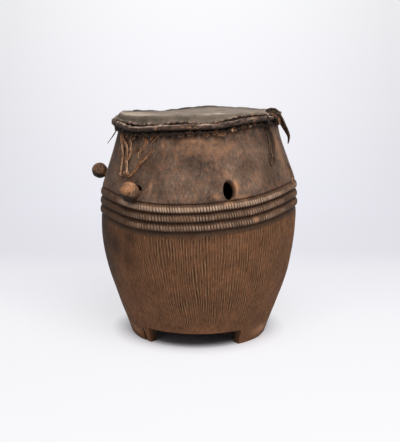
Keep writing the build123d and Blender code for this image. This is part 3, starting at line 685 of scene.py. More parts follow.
# painted shade along the far edge of the head, and how far in from the rim it begins
far_edge = around(spin, [
    (-180, 0.75), (-166, 0.95), (-158, 0.75), (-152, 1), (-140, 0.9), (-115, 0.8), (-100, 0.4), (-92, 0), (112, 0),
    (122, 0.4), (128, 0.9), (134, 0.4), (160, 0.5), (176, 0.7),
])
shade_from = around(spin, [(-180, 118), (-150, 104), (-120, 106), (-95, 120), (110, 130), (150, 128), (172, 122)])
cracks_and_shade = np.zeros((len(section), HEAD_COLUMNS))
crest = np.zeros((len(section), HEAD_COLUMNS))
turns = iter(ROLL_TURNS)
for row, (ring_out, ring_high, zone) in enumerate(section):
    if zone == 3:
        turn = next(turns)
        streak, lines, lay = streaks[turn]
        cracks_and_shade[row] = np.maximum(0.85 - 0.85 * smooth(lines, 0.05, 0.28), 0.9 * smooth(-lay, 0.4, 1))
        # painted shade: the roll's lower turns, which face down, are darkened
        cracks_and_shade[row] = np.maximum(cracks_and_shade[row], 0.95 * smooth(-turn, 5, 60))
        # painted highlight: the crests of the upper turns, which face up, are paler
        crest[row] = np.maximum(smooth(streak, -0.3, 0.7), smooth(lay, 0.2, 0.9)) * smooth(turn, 0, 50)
    elif zone == 2:
        lines = np.abs(uneven(on_circle(ring_out, spin, ring_high), 15, 69))
        cracks_and_shade[row] = np.maximum(0.8 * smooth(stitch, 0.45, 0.95), 0.8 - 0.8 * smooth(lines, 0.02, 0.12))
        cracks_and_shade[row] *= 0.3 + 0.7 * gaping
        # painted highlight, with wear: the crinkled lip's crests are paler
        crest[row] = 0.9 * smooth(crinkle, -0.4, 0.6)
    elif zone < 0.3:
        # painted shade: a dark line just inside the far edge
        cracks_and_shade[row] = 1.15 * far_edge * smooth(ring_out, shade_from, shade_from + 14)
paint(head, "cracks_and_shade", np.concatenate([cracks_and_shade.ravel(), [0, 0]]))
paint(head, "crest", np.concatenate([crest.ravel(), [0, 0]]))
paint(head, "roll", smooth(part, 1.3, 2.2))
# painted shade in the pocket between the cut edge and the roll, deepest where it gapes
depth = gaping * (0.7 + 0.3 * np.maximum(stitch, smooth(-fine_fold, -0.2, 0.6)))
paint(head, "pocket", ((part > 2.3) & (part < 2.7)) * np.concatenate([np.tile(depth, len(section)), [0, 0]]))
left = around(where, [(-140, 0.35), (-70, 0.72), (-30, 0.66), (0, 0.35), (30, 0.2), (60, 0.15), (140, 0.2)])
edge = patches(where, out, [(-45, 141, 60, 8, 0.9), (-15, 141, 40, 7, 0.6), (10, 138, 26, 8, 1.7), (35, 142, 30, 5, 0.4)])
# painted highlight: a glint on the bead along the front, where the skirt begins
glint = patches(where, 0 * part, [(6, 0, 10, 1, 1), (14, 0, 15, 1, 1), (-6, 0, 9, 1, 0.5), (-40, 0, 30, 1, 0.4)])
glint = glint * (part > 0.14) * (part < 0.3)
paint(head, "pale", np.maximum(np.maximum(left * smooth(out, 60, 130), edge) * (part < 0.2), glint))
rust = patches(where, 0 * part, [
    (-3, 0, 28, 1, 1), (-18, 0, 22, 1, 0.7), (-28, 0, 6, 1, 1), (37.5, 0, 10, 1, 1), (25, 0, 16, 1, 0.6),
    (12, 0, 16, 1, 0.6),
])
rust = rust * smooth(uneven(spots, 5, 68), -0.3, 0.7)
paint(head, "rust", rust * (part < 3.5))

# Dried rawhide: paler in scuffed patches toward the rim, most at the left, with a painted highlight along the front
# edge;
# grey-green grime on the skirt; brown and cracked on the roll, with painted highlights on its crests and painted shade
# on its lower turns, in its pockets and along the far edge; a fine pebbled grain.
hide, tree, place = new_material("rawhide_dried_and_scuffed")
wiped = add(tree, "ShaderNodeMapping", {"Vector": place, "Scale": (0.3, 1.6, 1)}).outputs[0]
# (place, size in mm, detail, roughness)
cloud, spot, pebble, scuff = (
    add(tree, "ShaderNodeTexNoise", {"Vector": at, "Scale": lumps(size), "Detail": detail, "Roughness": rough}).outputs[0]
    for at, size, detail, rough in (
        (place, 33.33, 7, 0.65),  # clouds
        (place, 6.667, 6, 0.66),  # spots of grime
        (place, 1.111, 3, 0.6),  # pebbled grain, drawn coarser than real so that it shows
        (wiped, 14.29, 6, 0.7),  # scuffs, wiped from side to side
    )
)
marks = {
    name: add(tree, "ShaderNodeAttribute", attribute_name=name).outputs["Fac"]
    for name in ("skirt", "roll", "pocket", "pale", "rust", "cracks_and_shade", "crest")
}
tone = add(tree, "ShaderNodeMapRange", {"Value": cloud, "From Min": 0.35, "From Max": 0.67}).outputs[0]
top_colour = add(tree, "ShaderNodeMix", {0: tone, 6: tint("#74685c"), 7: tint("#978879")}, data_type="RGBA").outputs[2]
light = add(tree, "ShaderNodeMath", {0: scuff, 1: marks["pale"]}, operation="MULTIPLY").outputs[0]
light = add(tree, "ShaderNodeMapRange", {"Value": light, "From Min": 0.12, "From Max": 0.5}).outputs[0]
skirt_colour = add(tree, "ShaderNodeMix", {0: tone, 6: tint("#554b40"), 7: tint("#776a5c")}, data_type="RGBA").outputs[2]
roll_tone = add(tree, "ShaderNodeMapRange", {"Value": spot, "From Min": 0.34, "From Max": 0.68}).outputs[0]
roll_colour = add(tree, "ShaderNodeMix", {
    0: roll_tone, 6: tint("#241a14"), 7: tint("#68544a"),
}, data_type="RGBA").outputs[2]
# painted highlight, with wear, on the crests of the roll and lip
wear_and_light = add(tree, "ShaderNodeMath", {0: marks["crest"], 1: spot}, operation="MULTIPLY").outputs[0]
wear_and_light = add(tree, "ShaderNodeMapRange", {"Value": wear_and_light, "From Min": 0.15, "From Max": 0.55}).outputs[0]
roll_colour = add(tree, "ShaderNodeMix", {0: wear_and_light, 6: roll_colour, 7: tint("#a99280")}, data_type="RGBA").outputs[2]
rusty = add(tree, "ShaderNodeMath", {0: spot, 1: marks["rust"]}, operation="MULTIPLY").outputs[0]
rusty = add(tree, "ShaderNodeMapRange", {"Value": rusty, "From Min": 0.2, "From Max": 0.55}).outputs[0]
roll_colour = add(tree, "ShaderNodeMix", {0: rusty, 6: roll_colour, 7: tint("#9a6e4e")}, data_type="RGBA").outputs[2]
colour = add(tree, "ShaderNodeMix", {0: marks["skirt"], 6: top_colour, 7: skirt_colour}, data_type="RGBA").outputs[2]
colour = add(tree, "ShaderNodeMix", {0: light, 6: colour, 7: tint("#c9b6a2")}, data_type="RGBA").outputs[2]
colour = add(tree, "ShaderNodeMix", {0: marks["roll"], 6: colour, 7: roll_colour}, data_type="RGBA").outputs[2]
# cracks, and painted shade on the roll's lower turns and along the far edge
torn_and_shade = add(tree, "ShaderNodeMath", {0: marks["cracks_and_shade"], 1: 0.85}, operation="MULTIPLY").outputs[0]
colour = add(tree, "ShaderNodeMix", {0: torn_and_shade, 6: colour, 7: tint("#1d140f")}, data_type="RGBA").outputs[2]
# painted shade: the pockets
colour = add(tree, "ShaderNodeMix", {0: marks["pocket"], 6: colour, 7: tint("#0f0a07")}, data_type="RGBA").outputs[2]
grime = add(tree, "ShaderNodeMapRange", {
    "Value": spot, "From Min": 0.28, "From Max": 0.5, "To Min": 0.45, "To Max": 0.0,
}).outputs[0]
colour = add(tree, "ShaderNodeMix", {0: grime, 6: colour, 7: tint("#3b322a")}, data_type="RGBA").outputs[2]
dull = add(tree, "ShaderNodeMapRange", {
    "Value": spot, "From Min": 0.3, "From Max": 0.7, "To Min": 0.6, "To Max": 0.82,
}).outputs[0]
bumps = add(tree, "ShaderNodeMath", {0: pebble, 1: 0.4, 2: spot}, operation="MULTIPLY_ADD").outputs[0]
bumps = add(tree, "ShaderNodeMath", {0: scuff, 1: 0.9, 2: bumps}, operation="MULTIPLY_ADD").outputs[0]
finish_material(tree, colour, dull, bumps, 0.0008)
head.data.materials.append(hide)
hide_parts("drum_head")
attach(head, "drum")

# The hoop: a thin vine, peeled and bent into a ring. The hide's edge is rolled round it, which holds it fast and
# hides it.
VINE_SIDES = 14
vine_turn = np.linspace(0, 2 * math.pi, VINE_SIDES, endpoint=False)
thick = 3.1 + 0.12 * uneven(ring_points, 18, 71)
vine_ring = [
    tilted(on_circle(middle_out + thick * math.cos(turn), spin, middle_high + thick * math.sin(turn)))
    for turn in vine_turn
]
hoop = make_piece("vine_hoop", np.stack(vine_ring), grid_faces(VINE_SIDES, HEAD_COLUMNS, True)[:, ::-1])
# Peeled vine: pale brown bast with long fibres and darker nodes.
vine, tree, place = new_material("vine_peeled_and_dried")
# (place, size in mm, detail, roughness)
bast, knots = (
    add(tree, "ShaderNodeTexNoise", {"Vector": at, "Scale": lumps(size), "Detail": detail, "Roughness": rough}).outputs[0]
    for at, size, detail, rough in (
        (place, 3.333, 5, 0.6),  # bundles of bast
        (place, 33.33, 4, 0.5),  # nodes
    )
)
colour = add(tree, "ShaderNodeMix", {0: bast, 6: tint("#6a4e34"), 7: tint("#94744f")}, data_type="RGBA").outputs[2]
colour = add(tree, "ShaderNodeMix", {0: knots, 6: tint("#4a3524"), 7: colour}, data_type="RGBA").outputs[2]
finish_material(tree, colour, 0.75, bast, 0.0004)
hoop.data.materials.append(vine)
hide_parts("head_hoop")
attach(hoop, "drum")

# The lacing: a rawhide thong that runs in waves under the hoop, through the hide's lip, with knots where
# broken ends were tied. Its ends meet at the back.


def spline_points(name, route, fineness=24):
    """Points, in mm, read from a smooth spline whose control points are the route, and its length."""
    curve = bpy.data.curves.new(name, "CURVE")
    curve.dimensions = "3D"
    curve.resolution_u = fineness
    spline = curve.splines.new("NURBS")
    spline.points.add(len(route) - 1)
    for control, place in zip(spline.points, route):
        control.co = (*(float(part) * MM for part in place), 1)
    spline.order_u = 3
    spline.use_endpoint_u = True
    guide = bpy.data.objects.new(name, curve)
    bpy.context.scene.collection.objects.link(guide)
    bpy.context.view_layer.update()
    line = bpy.data.meshes.new_from_object(guide.evaluated_get(bpy.context.evaluated_depsgraph_get()))
    points = np.array([tuple(vertex.co) for vertex in line.vertices]) / MM
    bpy.data.objects.remove(guide)
    bpy.data.meshes.remove(line)
    return points, np.linalg.norm(np.diff(points, axis=0), axis=1).sum()


def ribbon(
    path, width, thick, seed, twist=0.3, ragged=0.2, taper=(1, 1), curl=0.0, warm=0.0, aside_by=0.0, lift=0.0,
    turned=(0, 0),
):
    """A flat strip along a path, its face looking away from the axis: points, faces, edge and warmth values."""
    count = len(path)
    ahead = np.gradient(path, axis=0)
    ahead /= np.linalg.norm(ahead, axis=1)[:, None]
    outward = np.stack([path[:, 0], path[:, 1], 0.27 * np.hypot(path[:, 0], path[:, 1])], -1)
    outward -= (outward * ahead).sum(1)[:, None] * ahead
    outward /= np.linalg.norm(outward, axis=1)[:, None]
    aside = np.cross(ahead, outward)
    dice = np.random.default_rng(seed)
    length = np.linspace(0, 1, count)
    roll = np.zeros(count)
    sway = np.zeros(count)
    for wave_count in (1, 2, 3.7, 6):
        roll += dice.normal() * np.sin(2 * math.pi * (length * wave_count + dice.uniform())) / wave_count**0.6
        sway += dice.uniform(-1, 1) * np.sin(2 * math.pi * (length * wave_count * 0.7 + dice.uniform()))
    roll = twist * roll + np.radians(np.interp(length, [0.15, 0.55], turned))
    path = path + (aside_by * (0.55 + 0.45 * sway))[:, None] * aside + (lift * (1 + 0.4 * sway))[:, None] * outward
    edge = np.ones((2, count))
    for side in range(2):
        for wave_count in (3, 7, 13, 22):
            ripple = dice.uniform(0.3, 1) * np.sin(2 * math.pi * (length * wave_count + dice.uniform()))
            edge[side] += ragged * ripple / 2
    stations = np.linspace(0, 1, len(taper))
    if len(taper) == 2:
        stations, taper = [0, 0.12, 0.85, 1], [taper[0], 1, 1, taper[1]]
    ends = np.interp(length, stations, taper)
    # half widths from edge to edge, over the face and back under it
    places = np.array([-1, -0.92, -0.5, -0.12, 0.3, 0.7, 0.94, 1, 0.9, 0.4, -0.2, -0.9])
    lifts = np.array([0.0, 0.5, 0.62, 0.3, 0.66, 0.4, 0.5, 0.0, -0.5, -0.4, -0.5, -0.45])
    rows = []
    for place, rise in zip(places, lifts):
        half = width / 2 * ends * np.where(place < 0, edge[0], edge[1])
        over = place * half
        rise = rise * thick * (0.8 + 0.2 * ends) + curl * place**2 * half
        over, rise = over * np.cos(roll) - rise * np.sin(roll), over * np.sin(roll) + rise * np.cos(roll)
        rows.append(path + over[:, None] * aside + rise[:, None] * outward)
    wide = len(places)
    step, place = np.meshgrid(np.arange(count - 1) * wide, np.arange(wide), indexing="ij")
    after = (place + 1) % wide
    faces = np.stack([step + place, step + wide + place, step + wide + after, step + after], -1).reshape(-1, 4).tolist()
    faces += [list(range(wide)), list(range(count * wide - 1, (count - 1) * wide - 1, -1))]
    return np.stack(rows, 1).reshape(-1, 3), faces, np.tile(np.abs(places) ** 3, count), np.full(count * wide, warm)


def bundle(name, ribbons):
    """One piece from several ribbons, with the values that its material reads."""
    faces = []
    first = 0
    for points, ribbon_faces, _, _ in ribbons:
        faces += [[corner + first for corner in face] for face in ribbon_faces]
        first += len(points)
    piece = make_piece(name, np.concatenate([part[0] for part in ribbons]), faces, 60)
    paint(piece, "edge", np.concatenate([part[2] for part in ribbons]))
    paint(piece, "warm", np.concatenate([part[3] for part in ribbons]))
    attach(piece, "drum")
    return piece


# Rawhide thong: smoked nearly black where it was knotted, tan and fibrous where it was rubbed, with pale edges
# and dark creases between the fibres. On the lacing under the roll, the smoked tone also stands as painted shade.
thong_hide, tree, place = new_material("rawhide_thong_twisted_and_rubbed")
fibre_place = add(tree, "ShaderNodeMapping", {"Vector": place, "Scale": (1, 1, 0.2)}).outputs[0]
# (place, size in mm, detail, roughness)
fibre, stain = (
    add(tree, "ShaderNodeTexNoise", {"Vector": at, "Scale": lumps(size), "Detail": detail, "Roughness": rough}).outputs[0]
    for at, size, detail, rough in (
        (fibre_place, 1.333, 4, 0.65),  # fibres, drawn in bunches, since single ones are too fine to show
        (place, 7.692, 5, 0.6),  # smoke stains
    )
)
edge = add(tree, "ShaderNodeAttribute", attribute_name="edge").outputs["Fac"]
warm = add(tree, "ShaderNodeAttribute", attribute_name="warm").outputs["Fac"]
tone = add(tree, "ShaderNodeMapRange", {"Value": stain, "From Min": 0.36, "From Max": 0.66}).outputs[0]
smoked = add(tree, "ShaderNodeMix", {0: tone, 6: tint("#1d1510"), 7: tint("#43352b")}, data_type="RGBA").outputs[2]
tan = add(tree, "ShaderNodeMix", {0: tone, 6: tint("#643a23"), 7: tint("#a96f45")}, data_type="RGBA").outputs[2]
colour = add(tree, "ShaderNodeMix", {0: warm, 6: smoked, 7: tan}, data_type="RGBA").outputs[2]
crease = add(tree, "ShaderNodeMapRange", {
    "Value": fibre, "From Min": 0.34, "From Max": 0.53, "To Min": 0.85, "To Max": 0.0,
}).outputs[0]
colour = add(tree, "ShaderNodeMix", {0: crease, 6: colour, 7: tint("#23170f")}, data_type="RGBA").outputs[2]
pale = add(tree, "ShaderNodeMix", {0: warm, 6: tint("#46382e"), 7: tint("#e6bf9b")}, data_type="RGBA").outputs[2]
rubbed = add(tree, "ShaderNodeMath", {0: edge, 1: fibre}, operation="MULTIPLY").outputs[0]
rubbed = add(tree, "ShaderNodeMapRange", {"Value": rubbed, "From Min": 0.2, "From Max": 0.6}).outputs[0]
colour = add(tree, "ShaderNodeMix", {0: rubbed, 6: colour, 7: pale}, data_type="RGBA").outputs[2]
bumps = add(tree, "ShaderNodeMath", {0: stain, 1: 0.6, 2: fibre}, operation="MULTIPLY_ADD").outputs[0]
finish_material(tree, colour, 0.68, bumps, 0.0007)

LACING_POINTS, LACING_STEP = 95, 3.75  # route points, and the degrees between them
route = []
for number in range(LACING_POINTS):
    where = 180 + number * LACING_STEP
    spot = (where + 180) % 360 - 180
    drop = 19.8 + 6.0 * (number % 2) + 0.8 * math.sin(number * 2.3)
    out = 161.0 - 5 * tuck(spot) - 0.6 * (number % 2)
    route.append(tilted(on_circle(out, where, RIM_HEIGHT - drop + hoop_climb(spot))))
lacing_path, _ = spline_points("lacing_route", route, 10)
# (azimuth, below the hoop, size, warmth): knots and cut ends seen under the roll, then some at the back
KNOTS = [
    (-12, 11, 3.2, 0.2), (-5.4, 8.6, 3.4, 0.3), (5.2, 11, 3.4, 0.4), (12.2, 9.5, 4.2, 0.6), (15, 11, 4.4, 0.5),
    (23.9, 9.4, 3.0, 1.0), (31, 8, 3.2, 0.4), (35, 7, 3.0, 0.3), (39.6, 6, 2.8, 0.6), (-50, 13, 4.6, 0.25),
    (-57, 12, 3.8, 0.2), (-28, 11, 3.0, 0.2), (-78, 10, 3.2, 0.2), (102, 10, 3.4, 0.3), (128, 9, 3.2, 0.3),
    (150, 10, 3.8, 0.4), (-170, 9, 3.2, 0.3), (-145, 10, 3.6, 0.3), (-118, 9, 3.2, 0.3),
]
# the lacing takes the smoked tone, kept near black also as painted shade under the roll
laced = [ribbon(lacing_path, 4.0, 1.8, 81, 0.5, 0.25)]
for number, (where, below, size, warmth) in enumerate(KNOTS):
    dice = np.random.default_rng(200 + number)
    turns = np.linspace(0, 1.7 * math.pi, 30) + dice.uniform(0, 6)
    knot_out = 158.6 - 4 * tuck(where) + 1.6 * np.sin(1.5 * turns)
    knot_az = where + np.degrees(size * 0.8 * np.cos(turns) / 160) + np.degrees(dice.uniform(-2, 2) * turns / 8 / 160)
    knot_high = 416.6 - below + hoop_climb(where) + size * 0.55 * np.sin(turns) - 0.3 * size * turns / 8
    knot_path = tilted(on_circle(knot_out, knot_az, knot_high))
    knot_warm = 0.1 + 0.7 * warmth + 0.2 * (warmth == 1)
    laced.append(ribbon(knot_path, 1.7 * size, 4.0, 220 + number, 0.4, 0.15, (0.7, 0.6), warm=knot_warm))
lacing = bundle("rawhide_lacing", laced)
lacing.data.materials.append(thong_hide)
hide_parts("lacing_thong")

# The lashings: rawhide strips from hoop to peg, broken and dried where they hung. Each has split into two or
# three flat, twisted strands with stray fibres.
# Each: azimuths and depths below the rim of its route, its width, and its taper from end to end.
LASHINGS = {
    "loop": (
        [-66, -64.8, -63.3, -58.3, -54.6, -53, -52.8, -51, -48.8, -46.2, -43, -41.3, -39.5, -36.9, -34.3, -32.2, -29.8],
        [21, 29, 38, 43, 48.5, 60, 70, 82, 96, 102, 94, 85.4, 77.7, 69.7, 61.9, 56, 49],
        9.0, (1, 1, 1, 1, 1, 1.1, 1, 1, 0.9, 0.7, 0.2)),
    "hairpin": (
        [-68, -65, -59.8, -58.2, -56.6, -55.7, -55.4, -53.8, -51.6, -50.8],
        [24, 38, 52, 63, 75, 89, 100, 103, 100.5, 94], 6.0, (1, 0.5)),
    "strand": ([-52, -51.8, -50.6, -48.8, -49.6, -51, -51.2], [20, 35, 45, 57, 66, 73, 80], 7.4, (1, 0.3)),
    "tail": (
        [-40.4, -38, -36.3, -37.5, -40.4, -41.7, -42], [21, 29.5, 36, 43.5, 52.5, 60, 66],
        8.4, (1.1, 1.2, 1.1, 0.8, 0.6, 0.45, 0.35, 0.2)),
}


def flank_route(azimuths, depths, away, stand_offs=None):
    """Route points on the flank, at depths below the rim's middle."""
    heights = RIM_HEIGHT - np.array(depths, float)
    out = flank_radius(heights) + away + np.array(stand_offs or [0] * len(depths))
    return on_circle(out, np.array(azimuths, float), heights)


for number, (name, (azimuths, depths, width, taper)) in enumerate(LASHINGS.items()):
    path, length = spline_points(f"{name}_route", flank_route(azimuths, depths, 2.6), 12)
    seed = 300 + 10 * number
    strands = [
        ribbon(path, 0.52 * width, 1.7, seed, 0.35, 0.3, taper, warm=0.9, aside_by=-0.18 * width, lift=0.4),
        ribbon(path, 0.4 * width, 1.5, seed + 1, 0.45, 0.3, taper, warm=0.55, aside_by=0.3 * width, lift=-0.2),
        ribbon(path, 0.22 * width, 1.1, seed + 2, 0.6, 0.2, taper, warm=1.0, aside_by=0.05 * width, lift=1.2),
        ribbon(path, 0.5, 0.45, seed + 3, 0.2, 0.0, (1, 1), warm=1.0, aside_by=0.5 * width, lift=0.6),
        ribbon(path, 0.5, 0.45, seed + 4, 0.2, 0.0, (1, 1), warm=1.0, aside_by=-0.48 * width, lift=0.9),
    ]
    lashing = bundle(f"rawhide_lashing_{name}", strands)
    lashing.data.materials.append(thong_hide)
    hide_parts(f"lashing_{name}")

# The tab: a short end of hide thong, folded so that its two edges turn up. It hangs aslant from the lacing and
# lies on the flank.
TAB_AZIMUTH, TAB_HEIGHT, TAB_HALF = -30.5, 402.5, 13
TAB_LEAN = math.radians(40)
fall = (flank_radius(TAB_HEIGHT - TAB_HALF) - flank_radius(TAB_HEIGHT + TAB_HALF)) / (2 * TAB_HALF)
along = np.linspace(-TAB_HALF, TAB_HALF, 30)
tab_path = on_circle(
    flank_radius(TAB_HEIGHT) - fall * along * math.cos(TAB_LEAN) + 1.9,
    TAB_AZIMUTH + np.degrees(along * math.sin(TAB_LEAN) / 158), TAB_HEIGHT + along * math.cos(TAB_LEAN),
)
tab = bundle("hide_tab", [
    ribbon(tab_path, 8.6, 1.4, 101, 0.05, 0.06, (0.1, 0.6, 0.95, 1, 0.85, 0.5, 0.1), curl=0.36, warm=0.85),
    ribbon(tab_path, 2.4, 0.9, 102, 0.05, 0.1, (0.2, 0.8, 1, 1, 0.8, 0.3), warm=0.0, lift=1.0),
])
tab.data.materials.append(thong_hide)
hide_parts("lashing_tab")

# The right thong and the left tail: left-over ends of rawhide thong, smoked dark. The right one is a long strip
# that hangs doubled from the hoop, and the left one a thin stiff end that stands off the flank.
right_azimuths = [52.8, 55, 55.6, 53.6, 51.5, 51.1, 52.8, 54.5, 55, 57.6, 60, 60, 57.6]
right_depths = [16, 27, 42, 58, 71.5, 80.7, 83.8, 80.7, 71.5, 58.5, 43, 28, 17]
path, length = spline_points("right_route", flank_route(right_azimuths, right_depths, 2.6), 16)
right_thong = bundle("rawhide_thong_right", [
    ribbon(path, 8.4, 2.2, 111, 0.25, 0.2, (1, 1), warm=0.0, aside_by=-0.6),
    ribbon(path, 3.4, 1.6, 112, 0.4, 0.2, (1, 1), warm=0.15, aside_by=2.4, lift=1.0),
    ribbon(path, 0.6, 0.5, 113, 0.2, 0.0, (1, 1), warm=0.8, aside_by=-3.0, lift=0.8),
])
right_thong.data.materials.append(thong_hide)
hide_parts("thong_loop_right")
left_route = flank_route([-88, -89, -90, -91], [32.5, 41.5, 51, 60], 1.9, [0, 3.6, 8, 12.4])
path, length = spline_points("left_route", left_route, 16)
count = len(path)
left_tail = bundle("rawhide_tail_left", [
    ribbon(path[: count // 2 + 4], 3.4, 1.3, 121, 0.4, 0.2, (1.3, 0.3), warm=0.0),
    ribbon(path, 1.9, 0.9, 122, 0.3, 0.1, (1, 0.7), warm=0.7, aside_by=0.3),
])
left_tail.data.materials.append(thong_hide)
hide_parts("thong_tail_left")

# The flap: a stiff strap end of hide that lies on the head, curls over the hoop and hangs ragged outside it,
# with the crumpled fold beside it where the hide was gathered.


def over_roll(name, line, fineness):
    """Path of a strip over the hide's roll, from (radius, azimuth, height) places made level at the rim."""
    return spline_points(name, [tilted(on_circle(*place)) for place in line], fineness)[0]


flap_path = over_roll("flap_route", [
    (138, 80, 435.4), (149, 78, 434.8), (156.8, 75.5, 429.2), (161.6, 74, 419.5), (165.6, 74.2, 407.5), (173.4, 77, 391),
    (174.6, 78.5, 381), (172.4, 79.5, 371.5),
], 16)
fold_path = over_roll("fold_route", [
    (156, 47.5, 433), (162, 48.5, 430.5), (167, 50, 424), (166, 52, 414), (159, 53.5, 407),
], 12)
gather_path = over_roll("gather_route", [
    (147, 58, 436.5), (156, 60, 434), (164, 63, 427), (164, 66, 419), (157, 68, 412),
], 12)
flap = bundle("hide_flap_dried", [
    ribbon(
        flap_path, 12.5, 2.6, 131, 0.1, 0.07, (0.7, 1.0, 1.2, 1.1, 0.9, 0.7, 0.45, 0.14), curl=0.12, warm=0.08,
        turned=(0, 66),
    ),
    ribbon(
        flap_path[:70], 5.5, 2.2, 132, 0.2, 0.15, (0.5, 0.9, 1, 0.9, 0.6, 0.2), warm=0.35, aside_by=-1.5, lift=-3.0,
        turned=(0, 50),
    ),
    ribbon(flap_path[20:56], 2.4, 1.2, 133, 0.2, 0.2, (1, 0.6), warm=0.8, aside_by=2.0, lift=-5.0),
    ribbon(fold_path, 9.0, 2.6, 134, 0.15, 0.2, (0.7, 0.8), curl=0.3, warm=0.0),
    ribbon(gather_path, 14.0, 5.0, 135, 0.3, 0.12, (0.6, 0.7), curl=-0.25, warm=0.02),
    ribbon(gather_path, 8.0, 3.4, 137, 0.4, 0.3, (0.7, 0.7), curl=-0.2, warm=0.0, aside_by=-6.0, lift=0.5),
    ribbon(gather_path[8:], 4.0, 2.2, 136, 0.6, 0.3, (0.6, 0.5), warm=0.9, aside_by=4.0, lift=2.0),
])
flap.data.materials.append(thong_hide)
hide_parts("hide_flap")

# The stage: a wide flat floor of pale painted board, under three soft boxes above and in front of the drum. The
# camera looks slightly down on it.
FLOOR_REACH = 60000
floor_corners = [(x * FLOOR_REACH, y * FLOOR_REACH, -0.2) for x, y in ((-1, -1), (1, -1), (1, 1), (-1, 1))]
floor = make_piece("pale_floor", floor_corners, [(0, 1, 2, 3)])


def seen_directly(tree):
    """1 for the rays that show the stage itself, from the camera or by way of gloss or glass."""
    ray = add(tree, "ShaderNodeLightPath").outputs
    seen = ray["Is Camera Ray"]
    for kind in ("Is Glossy Ray", "Is Transmission Ray"):
        seen = add(tree, "ShaderNodeMath", {0: seen, 1: ray[kind]}, operation="MAXIMUM").outputs[0]
    return seen


# Matte painted board: takes the drum's soft shadow. Seen directly, it also glows with painted light: behind the drum
# it turns a little grey and pales again with distance, and it greys to the sides, as a floor does under a lit studio
# cove. Near the drum the glow fades out, so that the real shadow shows.
FADE_LENGTH = 2.5  # metres behind the drum at which the fade is half way
SIDE_FALL, SIDE_LIMIT = 5.0, 0.13  # how fast, and how far at most, the sides darken
FADES = [
    (0.0, "#faf9fc"), (0.142, "#f6f5fa"), (0.187, "#edecf4"), (0.32, "#eeedf5"), (0.467, "#f1f1f7"), (0.716, "#f8f8fc"),
    (0.872, "#fbfbfe"),
]
board, tree, place = new_material("matte_board_painted")
# the paint's tooth, drawn coarser than real
tooth = add(tree, "ShaderNodeTexNoise", {"Vector": place, "Scale": lumps(0.6667), "Detail": 2}).outputs[0]
colour = add(tree, "ShaderNodeMix", {0: tooth, 6: tint("#e6e5e9"), 7: tint("#e9e8ec")}, data_type="RGBA").outputs[2]
sheet = add(tree, "ShaderNodeBsdfDiffuse", {"Color": colour}).outputs[0]
across, along, _ = add(tree, "ShaderNodeSeparateXYZ", {"Vector": place}).outputs
behind = add(tree, "ShaderNodeMath", {0: along, 1: 0.0}, operation="MAXIMUM").outputs[0]
depth = add(tree, "ShaderNodeMath", {0: behind, 1: FADE_LENGTH}, operation="ADD").outputs[0]
depth = add(tree, "ShaderNodeMath", {0: behind, 1: depth}, operation="DIVIDE").outputs[0]
ramp = add(tree, "ShaderNodeValToRGB", {0: depth})
while len(ramp.color_ramp.elements) < len(FADES):
    ramp.color_ramp.elements.new(1.0)
for stop, (where, code) in zip(ramp.color_ramp.elements, FADES):
    stop.position, stop.color = where, tint(code)
reach = add(tree, "ShaderNodeVectorMath", {0: place}, operation="LENGTH").outputs["Value"]
aside = add(tree, "ShaderNodeMath", {0: across, 1: reach}, operation="DIVIDE").outputs[0]
aside = add(tree, "ShaderNodeMath", {0: aside, 1: depth}, operation="MULTIPLY").outputs[0]
aside = add(tree, "ShaderNodeMath", {0: aside, 1: aside}, operation="MULTIPLY").outputs[0]
aside = add(tree, "ShaderNodeMath", {0: aside, 1: SIDE_FALL}, operation="MULTIPLY").outputs[0]
aside = add(tree, "ShaderNodeMath", {0: aside, 1: SIDE_LIMIT}, operation="MINIMUM").outputs[0]
bright = add(tree, "ShaderNodeMath", {0: 1.0, 1: aside}, operation="SUBTRACT").outputs[0]
glow = add(tree, "ShaderNodeEmission", {"Color": ramp.outputs[0], "Strength": bright}).outputs[0]
near = add(tree, "ShaderNodeMapRange", {"Value": reach, "From Min": 0.112, "From Max": 0.175, "To Max": 0.74}).outputs[0]
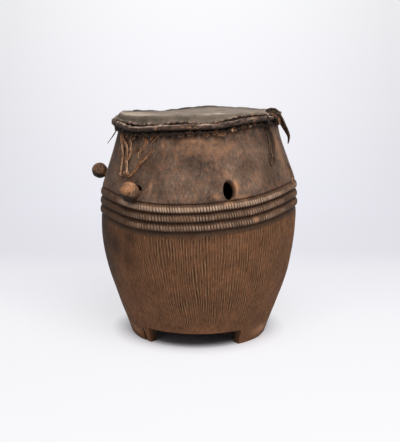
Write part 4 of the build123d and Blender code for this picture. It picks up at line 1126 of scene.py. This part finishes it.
far = add(tree, "ShaderNodeMapRange", {"Value": reach, "From Min": 0.5, "From Max": 1.2, "To Max": 0.26}).outputs[0]
share = add(tree, "ShaderNodeMath", {0: near, 1: far}, operation="ADD").outputs[0]
share = add(tree, "ShaderNodeMath", {0: share, 1: seen_directly(tree)}, operation="MULTIPLY").outputs[0]
surface = add(tree, "ShaderNodeMixShader", {0: share, 1: sheet, 2: glow}).outputs[0]
add(tree, "ShaderNodeOutputMaterial", {"Surface": surface})
floor.data.materials.append(board)


def soft_light(name, place, aim, size, power):
    """A large white soft box aimed at a point, in metres and watts."""
    lamp = bpy.data.lights.new(name, "AREA")
    lamp.shape = "RECTANGLE"
    lamp.size, lamp.size_y = size
    lamp.energy = power
    light = bpy.data.objects.new(name, lamp)
    light.location = place
    away = np.array(place) - np.array(aim)
    light.rotation_euler = (math.atan2(math.hypot(away[0], away[1]), away[2]), 0, math.atan2(away[0], -away[1]))
    bpy.context.scene.collection.objects.link(light)


soft_light("key_box", (0.75, -1.7, 2.4), (0, 0, 0.25), (1.8, 1.8), 49)
soft_light("fill_box", (-1.5, -2.1, 1.6), (0, 0, 0.25), (1.4, 1.4), 4)
soft_light("top_box", (0.2, -0.9, 2.9), (0, -0.1, 0.3), (2.2, 1.6), 54)
world = bpy.data.worlds.new("studio_air")
world.use_nodes = True
tree = world.node_tree
tree.nodes.clear()
strength = add(tree, "ShaderNodeMapRange", {"Value": seen_directly(tree), "To Min": 0.17, "To Max": 0.9}).outputs[0]
air = add(tree, "ShaderNodeBackground", {"Color": tint("#f2f2f8"), "Strength": strength}).outputs[0]
add(tree, "ShaderNodeOutputWorld", {"Surface": air})
bpy.context.scene.world = world

# The camera stands a little over two metres in front, above the head, and looks down on the drum.
lens = bpy.data.cameras.new("front_camera")
lens.lens = 90
lens.sensor_width = 36
lens.clip_end = 100
camera = bpy.data.objects.new("front_camera", lens)
camera.location = (0.003, -2.115, 0.716)
camera.rotation_euler = (math.radians(76.71), 0, 0)
bpy.context.scene.collection.objects.link(camera)
bpy.context.scene.camera = camera
bpy.context.scene.view_settings.view_transform = "Standard"
